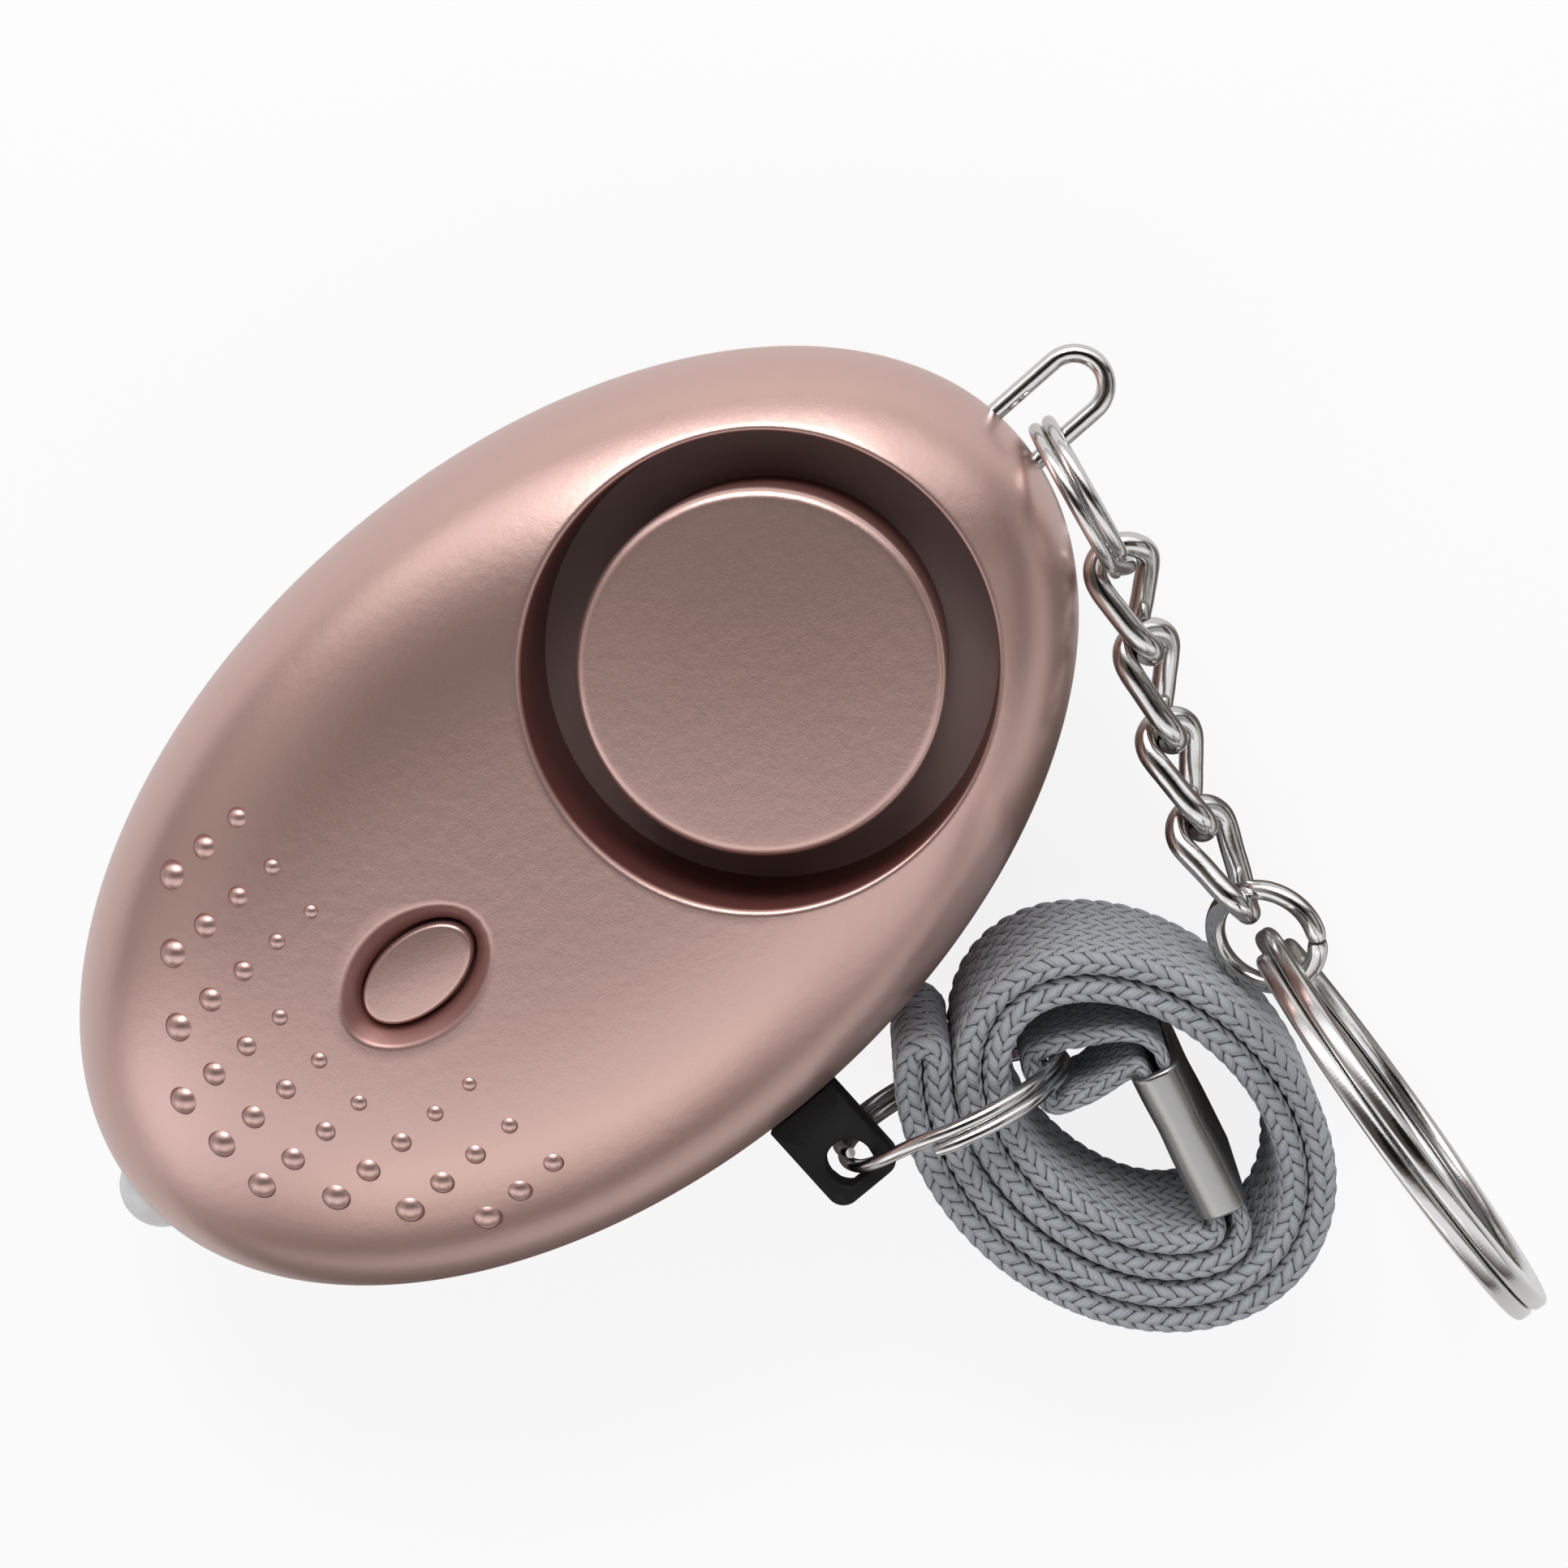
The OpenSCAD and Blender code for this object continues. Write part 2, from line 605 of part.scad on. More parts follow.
module cell_cradle() color(black) difference() {
    length = 2 * cell_room;
    union() {
        translate([cell_x - cell_d / 2 - cradle_wall, -length / 2, cradle_z])
            cube([cell_d + 2 * cradle_wall, length, cradle_h]);
        for (side = [-1, 1])
            translate([cell_x, side * (length - cradle_wall) / 2, (cell_z + 2 + cradle_z) / 2])
                cube([contact_wid, cradle_wall, cell_z + 2 - cradle_z], center = true);
        for (x = [-3, 3], y = [-4, 4])
            translate([cell_x + x, y, wall]) cylinder(d = 1.8, h = cradle_z - wall + over / 2);
    }
    translate([cell_x, -cell_end_y - contact_thk, cell_z]) rotate([-90, 0, 0])
        cylinder(d = cell_d + 2 * seat_gap, h = 2 * (cell_end_y + contact_thk));
    slot_wid = contact_wid + 2 * seat_gap;
    translate([cell_x, 0, cell_z])
        cube([slot_wid, 2 * (cell_end_y + contact_thk), slot_wid], center = true);
}

module torch_led() color([0.9, 0.95, 1]) translate([0, 0, parting_z]) rotate([0, -90, 0]) {
    dome_x = -led_tip_x - led_d / 2;
    translate([0, 0, -led_flange_x - led_flange_thk]) cylinder(d = led_flange_d, h = led_flange_thk);
    translate([0, 0, -led_flange_x]) cylinder(d = led_d, h = dome_x + led_flange_x);
    translate([0, 0, dome_x]) rotate_extrude() intersection() {
        circle(d = led_d);
        square(led_d);
    }
}

module led_leads() color(steel) for (side = [-1, 1]) {
    start_x = led_flange_x + led_flange_thk;
    translate([start_x, side * lead_gap / 2, parting_z]) rotate([0, 90, 0])
        cylinder(d = lead_d, h = lead_drop_x - start_x);
    translate([lead_drop_x, side * lead_gap / 2, parting_z - lead_d / 2])
        cylinder(d = lead_d, h = board_z - parting_z + lead_d / 2);
}

module pull_pin() color(black) {
    difference() {
        translate([tab_x, 0, parting_z - tab_thk / 2]) linear_extrude(tab_thk) union() {
            translate([-tab_wid / 2, tab_end_y + tab_corner]) square([tab_wid, tab_len - tab_corner]);
            translate([-tab_wid / 2 + tab_corner, tab_end_y]) square([tab_wid - 2 * tab_corner, tab_len]);
            for (side = [-1, 1])
                translate([side * (tab_wid / 2 - tab_corner), tab_end_y + tab_corner]) circle(r = tab_corner);
        }
        translate([tab_x, hole_y, 0]) cylinder(d = tab_bore, h = body_thk);
    }
    translate([tab_x - tongue_wid / 2, tab_y - over / 2, parting_z - tongue_thk / 2])
        cube([tongue_wid, tongue_end_y - tab_y + over / 2, tongue_thk]);
}

module pin_leaf(side) color("goldenrod")
    translate([tab_x - leaf_wid / 2, tongue_end_y + 1 - leaf_len,
            parting_z + side * (tongue_thk / 2 + slide_gap + leaf_thk / 2) - leaf_thk / 2])
        cube([leaf_wid, leaf_len, leaf_thk]);

module pin_socket() color(dark) difference() {
    translate([tab_x - socket_wid / 2, socket_y[0], parting_z - socket_h / 2])
        cube([socket_wid, socket_y[1] - socket_y[0], socket_h]);
    bore_wid = tongue_wid + 2 * slide_gap;
    bore_h = tongue_thk + 2 * slide_gap;
    translate([tab_x - bore_wid / 2, socket_y[0] - over, parting_z - bore_h / 2])
        cube([bore_wid, tongue_end_y - socket_y[0] + 1 + over, bore_h]);
    translate([tab_x - leaf_wid / 2, tongue_end_y + 1 - leaf_len, parting_z - bore_h / 2 - leaf_thk])
        cube([leaf_wid, leaf_len, bore_h + 2 * leaf_thk]);
}

// Two turns of round wire side by side
module split_ring(r) rotate_extrude() {
    for (side = [-1, 1]) translate([r, side * split_pitch / 2]) circle(d = ring_wire, $fn = 32);
}

module pin_ring() color(steel)
    translate([tab_x + hole_to_ring * cos(chord_angle), hole_y + hole_to_ring * sin(chord_angle), pin_ring_z])
        rotate([90, 0, chord_angle]) split_ring(pin_ring_r);

// The plane of the strap, tipped about the chord of the pin ring
module in_strap_plane() translate([tab_x, hole_y, pin_ring_z])
    rotate(chord_angle) rotate([strap_tilt, 0, 0]) rotate(-chord_angle) children();

module wrist_strap() color([0.49, 0.51, 0.54]) in_strap_plane() {
    sides = 6;
    polyhedron([for (i = [0 : band_count - 1]) each band_section(i)],
        [for (i = [0 : band_count - 1]) each skin(i * sides, ((i + 1) % band_count) * sides, sides)]);
}

module strap_crimp() color(steel) in_strap_plane()
    translate(crimp_mid) rotate(crimp_angle) difference() {
        thick = 2 * crimped_half + crimped_thk + 2 * seat_gap;
        tall = strap_wid + 2 * seat_gap;
        cube([crimp_len, thick + 2 * crimp_wall, tall + 2 * crimp_wall], center = true);
        cube([crimp_len + 2 * over, thick, tall], center = true);
    }

module wire_bend(r, wire, start) rotate(start) rotate_extrude(angle = 180)
    translate([r, 0]) circle(d = wire, $fn = 32);

module key_loop() color(steel) translate([0, 0, parting_z]) {
    for (side = [-1, 1])
        translate([loop_bar_x, side * loop_mid_r, 0]) rotate([0, 90, 0])
            cylinder(d = loop_wire, h = loop_end_x - loop_mid_r - loop_bar_x, $fn = 32);
    translate([loop_end_x - loop_mid_r, 0, 0]) wire_bend(loop_mid_r, loop_wire, -90);
    translate([loop_bar_x, 0, 0]) wire_bend(loop_mid_r, loop_wire, 90);
}

module bail_ring() color(steel) translate(bail_c) rotate([90, 0, bail_heading]) split_ring(bail_r);

// Middle of a link's wire: an oval that turns from its first end to its last
link_straight = link_half - link_mid_r;
function link_flat(k) = let (n = link_rings / 2, a = -90 + 180 * ((k % n) + 0.5) / n, s = k < n ? 1 : -1)
    [s * (link_straight + link_mid_r * cos(a)), s * link_mid_r * sin(a)];
function link_twist(ends, s) = (ends[0] + ends[1]) / 2 + (ends[1] - ends[0]) / 2 * s / link_half;
function link_point(ends, k) = let (p = link_flat((k + link_rings) % link_rings), t = link_twist(ends, p[0]))
    [p[0], p[1] * cos(t), p[1] * sin(t)];
function link_out(ends, k) = let (p = link_flat(k), t = link_twist(ends, p[0]),
        n = unit([max(0, abs(p[0]) - link_straight) * sign(p[0]), p[1]]))
    [n[0], n[1] * cos(t), n[1] * sin(t)];
function link_section(ends, k) = let (w = unit(link_point(ends, k + 1) - link_point(ends, k - 1)),
        o = link_out(ends, k), n = unit(o - (o * w) * w), b = cross(w, n))
    [for (i = [0 : wire_sides - 1]) let (a = 360 * i / wire_sides)
        link_point(ends, k) + link_wire / 2 * (cos(a) * n + sin(a) * b)];

module chain_link(i) color(steel)
    translate(link_center(i)) rotate([0, -link_dips[i], link_headings[i]])
        polyhedron([for (k = [0 : link_rings - 1]) each link_section(link_turns[i], k)],
            [for (k = [0 : link_rings - 1])
                each skin(k * wire_sides, ((k + 1) % link_rings) * wire_sides, wire_sides)]);

module jump_ring() color(steel) translate(jump_c) rotate(jump_heading) rotate([jump_lean, 0, 0])
    rotate_extrude() translate([jump_r, 0]) circle(d = jump_wire, $fn = 32);

module key_ring() color(steel) translate(key_c) rotate([90, 0, key_heading]) rotate_extrude() {
    turn = key_ring_thk / 2 - 0.06;
    for (side = [0, 1])
        translate([key_mid_r - key_ring_wid / 2, side == 1 ? key_ring_thk / 2 - turn : -key_ring_thk / 2])
            square([key_ring_wid, turn]);
    translate([key_mid_r - key_ring_wid / 2 + 0.25, -key_ring_thk / 4])
        square([key_ring_wid - 0.5, key_ring_thk / 2]);
}

module shell_screw(side) color(steel) translate([screw_x, side * screw_y, screw_seat_z]) {
    slot = 0.5;
    slot_deep = 1.2;
    cylinder(d = screw_d, h = screw_len - 0.6);
    difference() {
        translate([0, 0, -screw_head_h]) cylinder(d = screw_head_d, h = screw_head_h);
        for (a = [0, 90])
            rotate(a) translate([0, 0, -screw_head_h])
                cube([screw_head_d * 0.6, slot, slot_deep], center = true);
    }
}

front_shell();
back_shell();
siren_cap();
sounder_plate();
sounder_ring();
piezo_disc();
piezo_ceramic();
push_button();
switch_plunger();
tact_switch();
circuit_board();
boost_coil();
driver_chip();
cell(0);  // cell_1
cell(1);  // cell_2
cell(2);  // cell_3
cell_contact(-1);  // cell_contact_1
cell_contact(1);  // cell_contact_2
cell_cradle();
torch_led();
led_leads();
pull_pin();
pin_socket();
pin_leaf(-1);  // pin_leaf_1
pin_leaf(1);  // pin_leaf_2
pin_ring();
wrist_strap();
strap_crimp();
key_loop();
bail_ring();
chain_link(0);  // chain_link_1
chain_link(1);  // chain_link_2
chain_link(2);  // chain_link_3
chain_link(3);  // chain_link_4
jump_ring();
key_ring();
shell_screw(-1);  // shell_screw_1
shell_screw(1);  // shell_screw_2
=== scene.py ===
"""Looks of an egg-shaped personal alarm: painted shells, plated wire, a braided strap and the studio.

Sizes inside the shape functions are in millimetres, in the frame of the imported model.
"""
import json
import math

import bmesh
import bpy
import numpy as np
from bpy.props import FloatProperty, FloatVectorProperty, IntProperty, PointerProperty
from bpy.types import Operator, Panel, PropertyGroup
from mathutils import Matrix, Vector


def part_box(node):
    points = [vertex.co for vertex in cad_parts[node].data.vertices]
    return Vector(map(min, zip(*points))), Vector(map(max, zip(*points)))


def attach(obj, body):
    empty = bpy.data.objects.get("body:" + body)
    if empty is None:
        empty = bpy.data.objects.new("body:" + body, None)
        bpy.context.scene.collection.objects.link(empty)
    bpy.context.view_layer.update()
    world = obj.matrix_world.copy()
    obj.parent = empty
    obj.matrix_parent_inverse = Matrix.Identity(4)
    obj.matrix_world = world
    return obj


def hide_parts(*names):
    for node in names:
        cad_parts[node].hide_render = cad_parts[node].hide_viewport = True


bl_info = {
    "name": "Personal Alarm",
    "version": (1, 0, 0),
    "blender": (4, 5, 0),
    "location": "View3D > Sidebar > Alarm",
    "description": "Builds the looks of a personal alarm over its packed model",
    "category": "Object",
}

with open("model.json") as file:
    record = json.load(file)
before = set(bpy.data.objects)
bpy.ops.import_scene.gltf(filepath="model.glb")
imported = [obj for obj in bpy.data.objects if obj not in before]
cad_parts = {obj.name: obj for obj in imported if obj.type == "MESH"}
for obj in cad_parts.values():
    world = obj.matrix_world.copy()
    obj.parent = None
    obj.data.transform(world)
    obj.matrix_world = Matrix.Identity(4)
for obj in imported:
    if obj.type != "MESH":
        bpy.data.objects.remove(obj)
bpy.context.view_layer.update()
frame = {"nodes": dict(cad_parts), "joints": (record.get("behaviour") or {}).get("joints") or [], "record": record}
MM = 0.001
TURN = 2 * math.pi


def node_box(node):
    """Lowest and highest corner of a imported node, in millimetres."""
    low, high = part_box(node)
    return np.array(low) / MM, np.array(high) / MM


def node_middle(node):
    """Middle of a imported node's box, in millimetres."""
    low, high = node_box(node)
    return (low + high) / 2


def joint_place(name):
    """Where a joint turns, in millimetres."""
    joint = next(j for j in frame["joints"] if j["name"] == name)
    return np.array(joint["pos_m"]) / MM


# Sizes that several pieces share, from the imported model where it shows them
PARTING_Z = joint_place("bail_swing")[2]
WALL = 1.6
COLLAR_WALL = 1.2
EDGE_POWER = 4.6
CROWN_ANGLE = math.radians(86)
BACK_ANGLE = math.radians(72)
CAP_LOW, CAP_HIGH = node_box("siren_cap")
PLATE_LOW, PLATE_HIGH = node_box("sounder_plate")
BUTTON_TOP = node_box("push_button")[1][2]
SIREN_X = node_middle("siren_cap")[0]
BUTTON_X = node_middle("push_button")[0]
HALF_LEN, HALF_WID = node_box("back_shell")[1][:2]
PIN_HOLE = joint_place("pin_ring_swing")


def length(name, description, millimetres):
    """A length in the panel."""
    return FloatProperty(name=name, description=description, default=millimetres * MM, unit="LENGTH")


def shade_of(name, description, default):
    """A colour in the panel."""
    return FloatVectorProperty(name=name, description=description, subtype="COLOR", size=3, default=default)


class AlarmSizes(PropertyGroup):
    """Sizes of the visible details."""

    rim_round: length("Rim round", "Round on the edge of the siren's well", 0.42)
    cap_round: length("Cap round", "Round on the edge of the siren's cap", 0.62)
    cap_crown: length("Cap crown", "Rise of the cap's middle over its edge", 0.16)
    button_crown: length("Button crown", "Rise of the button's middle over its edge", 0.12)
    seam: length("Seam", "Depth of the line between the two shells", 0.09)
    strap_thickness: length("Strap thickness", "Thickness of the braided strap between its stitches", 1.46)
    stitch_length: length("Stitch length", "Length of a stitch along the strap", 1.06)
    stitch_relief: length("Stitch relief", "Height of a stitch over the gap beside it", 0.17)
    stitch_columns: IntProperty(
        name="Stitch columns", description="Columns of stitches round the strap", default=24, min=4)


class AlarmColours(PropertyGroup):
    """Colours of the finishes."""

    paint: shade_of("Paint", "Satin paint of the body", (0.6, 0.395, 0.35))
    braid: shade_of("Braid", "Yarn of the strap", (0.38, 0.397, 0.425))
    plate: shade_of("Plating", "Bright plating of the chain and rings", (0.66, 0.65, 0.63))
    tab: shade_of("Tab", "Moulded plastic of the pull pin", (0.014, 0.014, 0.015))


class Value:
    """A number that varies over a surface: a socket whose operators add Math nodes."""

    def __init__(self, finish, socket):
        self.finish = finish
        self.socket = socket

    def math(self, operation, *others):
        return self.finish.value("ShaderNodeMath", {"operation": operation}, dict(enumerate((self, *others))))

    def __add__(self, other):
        return self.math("ADD", other)

    __radd__ = __add__

    def __sub__(self, other):
        return self.math("SUBTRACT", other)

    def __rsub__(self, other):
        return self.finish.value("ShaderNodeMath", {"operation": "SUBTRACT"}, {0: other, 1: self})

    def __mul__(self, other):
        return self.math("MULTIPLY", other)

    __rmul__ = __mul__

    def __pow__(self, other):
        return self.math("POWER", other)

    def step(self, low, high):
        """0 below low, 1 above high, and smooth between them."""
        return self.finish.value(
            "ShaderNodeMapRange", {"interpolation_type": "SMOOTHSTEP"},
            {"Value": self, "From Min": low, "From Max": high})


class Finish:
    """A material's or a world's nodes, with its one shader."""

    def __init__(self, tree, output="ShaderNodeOutputMaterial"):
        self.tree = tree
        tree.nodes.clear()
        self.output = tree.nodes.new(output)

    def node(self, kind, settings=None, inputs=None):
        """Adds a node: its settings first, then the values or links of its sockets."""
        made = self.tree.nodes.new(kind)
        for name, setting in (settings or {}).items():
            setattr(made, name, setting)
        for name, value in (inputs or {}).items():
            self.feed(made.inputs[name], value)
        return made

    def feed(self, socket, value):
        """Links a socket, or sets its value."""
        if isinstance(value, Value):
            value = value.socket
        if isinstance(value, bpy.types.NodeSocket):
            self.tree.links.new(value, socket)
        elif socket.type == "RGBA":
            socket.default_value = (*value, 1)
        else:
            socket.default_value = value

    def value(self, kind, settings=None, inputs=None, output=0):
        return Value(self, self.node(kind, settings, inputs).outputs[output])

    def place(self):
        """The surface point in the piece's own frame, in metres."""
        return self.node("ShaderNodeTexCoord").outputs["Object"]

    def noise(self, scale, detail=2.0, at=None):
        """Soft noise from 0 to 1, with scale in features to a metre."""
        return self.value("ShaderNodeTexNoise", {}, {
            "Vector": at or self.place(), "Scale": scale, "Detail": detail})

    def blend(self, share, low, high):
        """A colour between two colours."""
        return self.node("ShaderNodeMix", {"data_type": "RGBA"}, {0: share, 6: low, 7: high}).outputs[2]

    def bump(self, height, distance):
        """A normal that follows a height, whose 1 stands for a distance in metres."""
        return self.node("ShaderNodeBump", {}, {"Height": height, "Distance": distance}).outputs[0]

    def surface(self, **inputs):
        """The one Principled shader, with its sockets by name."""
        names = {name.replace("_", " "): value for name, value in inputs.items()}
        shader = self.node("ShaderNodeBsdfPrincipled", {}, names)
        self.tree.links.new(shader.outputs[0], self.output.inputs["Surface"])


def new_finish(name):
    """An empty material and its nodes."""
    material = bpy.data.materials.new(name)
    material.use_nodes = True
    return material, Finish(material.node_tree)


def scaled(colour, share):
    """A colour made darker or lighter."""
    return tuple(min(1, c * share) for c in colour)


def rose_paint(colour):
    """Satin metallic paint: fine flakes, a little orange peel, and painted shade, a deep red, in recesses."""
    material, f = new_finish("satin_rose_paint")
    flakes = f.noise(9000, 1.0)
    cloud = f.noise(90, 3.0)
    # Painted shade: where a piece's values say so, in recesses and at a dome's foot, the paint turns a deep red,
    # less metallic and rougher
    painted_shade = f.value("ShaderNodeAttribute", {"attribute_name": "painted_shade"}, output=2)
    skin = f.blend(flakes * 0.7 + cloud * 0.3, scaled(colour, 0.93), scaled(colour, 1.06))
    f.surface(
        Base_Color=f.blend(painted_shade, skin, (0.21, 0.07, 0.058)),
        Metallic=0.85 - painted_shade * 0.42,
        Coat_Weight=0.25,
        Coat_Roughness=0.22,
        Roughness=0.27 + cloud * 0.05 + flakes * 0.04 + painted_shade * 0.12,
        Normal=f.bump(f.noise(1400) + flakes * 0.4, 0.000012))
    return material


def moulded(name, colour, rough, gloss=0.5):
    """Moulded plastic: a fine grain in its bump, and its gloss a little uneven."""
    material, f = new_finish(name)
    cloud = f.noise(160)
    f.surface(
        Base_Color=f.blend(cloud, scaled(colour, 0.85), scaled(colour, 1.15)),
        Roughness=rough + cloud * 0.1,
        Specular_IOR_Level=gloss,
        Normal=f.bump(f.noise(2600), 0.00003))
    return material


def plated(name, colour, rough):
    """Plated metal: polished, with faint scratches and a film that dulls it in places."""
    material, f = new_finish(name)
    at = f.node("ShaderNodeMapping", {}, {"Vector": f.place(), "Scale": (1, 1, 7)}).outputs[0]
    scratch = f.noise(2400, 3.0, at)
    film = f.noise(220)
    f.surface(
        Base_Color=f.blend(film, scaled(colour, 0.93), scaled(colour, 1.05)),
        Metallic=1.0,
        Roughness=rough + film.step(0.45, 0.8) * 0.06 + scratch * 0.03,
        Normal=f.bump(scratch, 0.000006))
    return material


# A stitch of the braid: how far it leans for each column, and how it falls off along and across itself
STITCH_LEAN = 0.62
STITCH_SIDES = 2.8
STITCH_REACH = 0.59
STITCH_ENDS = 3.0


def stitch_height(along, across):
    """Height of the braid from 0 to 1: the highest stitch of a column and of the two beside it. A stitch is 1
    in its middle and falls off along and across the strap, and odd columns lean the other way."""
    best = 0
    for step in (-1, 0, 1):
        column = np.floor(across) + step
        odd = column % 2
        off = across - column - 0.5
        phase = along - (1 - 2 * odd) * off * STITCH_LEAN - odd * 0.5
        gap = np.abs(phase - np.round(phase)) * 2
        best = np.maximum(best, 1 - gap ** STITCH_SIDES - np.abs(off / STITCH_REACH) ** STITCH_ENDS)
    return best


def braid_yarn(colour):
    """Braided yarn: the stitches of the strap's relief, with painted shade between them, and the lay of their
    threads.
    """
    material, f = new_finish("grey_braid")
    place = f.node("ShaderNodeUVMap", {"uv_map": "stitches"}).outputs[0]
    parts = f.node("ShaderNodeSeparateXYZ", {}, {0: place})
    along, across = (Value(f, parts.outputs[k]) for k in (0, 1))
    first = across.math("FLOOR")
    best = None
    for step in (-1, 1, 0):
        column = first + step
        odd = column.math("FLOORED_MODULO", 2.0)
        off = across - column - 0.5
        phase = along - (1 - odd * 2) * off * STITCH_LEAN - odd * 0.5
        gap = (phase - phase.math("ROUND")).math("ABSOLUTE") * 2
        height = 1 - gap ** STITCH_SIDES - (off.math("ABSOLUTE") * (1 / STITCH_REACH)) ** STITCH_ENDS
        best = height if best is None else best.math("MAXIMUM", height)
    threads = (phase * (TURN * 4)).math("SINE") * 0.5 + 0.5
    fuzz = f.noise(5200, 3.0)
    dye = f.noise(240)
    yarn = f.blend(dye * 0.5 + fuzz * 0.5, scaled(colour, 0.78), scaled(colour, 1.24))
    # Painted shade: where the relief falls between stitches the yarn darkens to 0.14 of its colour
    f.surface(
        Base_Color=f.blend(best.step(0.03, 0.36), scaled(colour, 0.14), yarn),
        Roughness=0.72 + threads * 0.12,
        Sheen_Weight=0.2,
        Sheen_Roughness=0.5,
        Normal=f.bump(best.math("MAXIMUM", 0.0) * 2.4 + threads * 0.3 + fuzz * 0.5, 0.00007))
    return material


def clear_epoxy():
    """Lamp epoxy: nearly clear, with a milky haze."""
    material, f = new_finish("clear_epoxy")
    haze = f.noise(700)
    f.surface(
        Base_Color=f.blend(haze, (0.86, 0.87, 0.87), (0.94, 0.95, 0.95)),
        Roughness=0.1 + haze * 0.06,
        Transmission_Weight=0.4,
        IOR=1.5)
    return material


def quads_of(rows, cols, closed=True):
    """Quads between rows of points. Each row is a closed loop, and the last row joins the first if closed."""
    i, j = np.meshgrid(np.arange(rows if closed else rows - 1), np.arange(cols), indexing="ij")
    here, below, after = i * cols, (i + 1) % rows * cols, (j + 1) % cols
    return np.stack([here + j, below + j, below + after, here + after], -1).reshape(-1, 4)


def piece(name, points, faces, material, body, slot, stands_for=(), sharp=38.0, values=None, uv=None):
    """Makes a smooth mesh from points in millimetres, closed and facing out, and rides it on a body."""
    mesh = bpy.data.meshes.new(name)
    mesh.from_pydata((points.reshape(-1, 3) * MM).tolist(), [], [list(f) for f in faces])
    for key, value in (values or {}).items():
        mesh.attributes.new(key, "FLOAT", "POINT").data.foreach_set("value", value.astype(np.float32).ravel())
    if uv is not None:
        mesh.uv_layers.new(name="stitches").uv.foreach_set("vector", uv.astype(np.float32).ravel())
    shaped = bmesh.new()
    shaped.from_mesh(mesh)
    bmesh.ops.remove_doubles(shaped, verts=shaped.verts, dist=2e-7)
    bmesh.ops.recalc_face_normals(shaped, faces=shaped.faces)
    shaped.to_mesh(mesh)
    shaped.free()
    mesh.shade_smooth()
    mesh.set_sharp_from_angle(angle=math.radians(sharp))
    mesh.materials.append(material)
    made = bpy.data.objects.new(name, mesh)
    bpy.context.scene.collection.objects.link(made)
    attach(made, body)
    if stands_for:
        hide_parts(*stands_for)
    return made


def joined(*parts):
    """Points and faces of several solids as one."""
    points, faces, start = [], [], 0
    for p, f in parts:
        p = p.reshape(-1, 3)
        points.append(p)
        faces += [[i + start for i in face] for face in f]
        start += len(p)
    return np.concatenate(points), faces


def lathe(profile, steps):
    """A profile of radius and height turned about Z."""
    a = np.arange(steps) * TURN / steps
    r, z = profile.T
    points = np.stack([np.outer(np.cos(a), r), np.outer(np.sin(a), r), np.tile(z, (steps, 1))], -1)
    return points, quads_of(steps, len(profile)).tolist()


def arc(centre, radius, start, stop, steps):
    """Points on a circle's arc between two angles in degrees."""
    a = np.radians(np.linspace(start, stop, steps))
    return np.stack([centre[0] + radius * np.cos(a), centre[1] + radius * np.sin(a)], -1)


def carried(path, side, section, closed):
    """A section carried along a path: its points lie off the path along side and along the binormal."""
    ahead = np.roll(path, -1, 0) - np.roll(path, 1, 0)
    if not closed:
        ahead[0], ahead[-1] = path[1] - path[0], path[-1] - path[-2]
    ahead /= np.linalg.norm(ahead, axis=1, keepdims=True)
    side = side - (side * ahead).sum(1, keepdims=True) * ahead
    side /= np.linalg.norm(side, axis=1, keepdims=True)
    up = np.cross(ahead, side)
    section = np.broadcast_to(section, (len(path), *section.shape[-2:]))
    points = path[:, None] + section[..., :1] * side[:, None] + section[..., 1:] * up[:, None]
    rows, cols = points.shape[:2]
    faces = quads_of(rows, cols, closed).tolist()
    if not closed:
        faces += [list(range(cols)), list(range((rows - 1) * cols, rows * cols))]
    return points, faces


def round_section(radius, sides=20):
    a = np.arange(sides) * TURN / sides
    return np.stack([radius * np.cos(a), radius * np.sin(a)], -1)


def rounded_box(width, height, radius, steps=6):
    """A rectangle with round corners, by its whole width and height."""
    w, h = width / 2 - radius, height / 2 - radius
    corners = [((w, h), 0), ((-w, h), 90), ((-w, -h), 180), ((w, -h), 270)]
    return np.concatenate([arc(c, radius, a, a + 90, steps) for c, a in corners])


def eased(section, rows, cut=0.25, rings=3):
    """The section for each row of a wire with eased ends: its last rings draw in."""
    scale = np.ones(rows)
    draw = 1 - cut * (1 - np.arange(rings) / rings) ** 2
    scale[:rings] = draw
    scale[-rings:] = draw[::-1]
    return section[None] * scale[:, None, None]


def turned(points, centre, heading, stand=90.0):
    """Points turned up about X by stand, then about Z by heading, and moved to a centre."""
    up = Matrix.Rotation(math.radians(stand), 3, "X")
    turn = np.array(Matrix.Rotation(math.radians(heading), 3, "Z") @ up)
    return points @ turn.T + centre


def smooth(x):
    """0 to 1 with level ends."""
    x = np.clip(x, 0, 1)
    return x * x * (3 - 2 * x)


def shell_rise(x, y, angle):
    """How far a shell stands off the parting plane: a superellipse in the share of the way to its edge."""
    share = np.hypot(x / HALF_LEN, y / HALF_WID)
    return PARTING_Z / math.sin(angle) * np.sqrt(np.clip(1 - share ** EDGE_POWER, 0, 1))


def front_rise(x, y):
    return shell_rise(x, y, CROWN_ANGLE)


def back_rise(x, y):
    """Depth of the back shell, which is cut flat where the body rests."""
    return np.minimum(shell_rise(x, y, BACK_ANGLE), PARTING_Z)


def egg_edge(angles):
    return np.stack([HALF_LEN * np.cos(angles), HALF_WID * np.sin(angles)], -1)


SLOT_X = PIN_HOLE[0]
SLOT_HALF = 1.75
SLOT_HIGH = 0.75


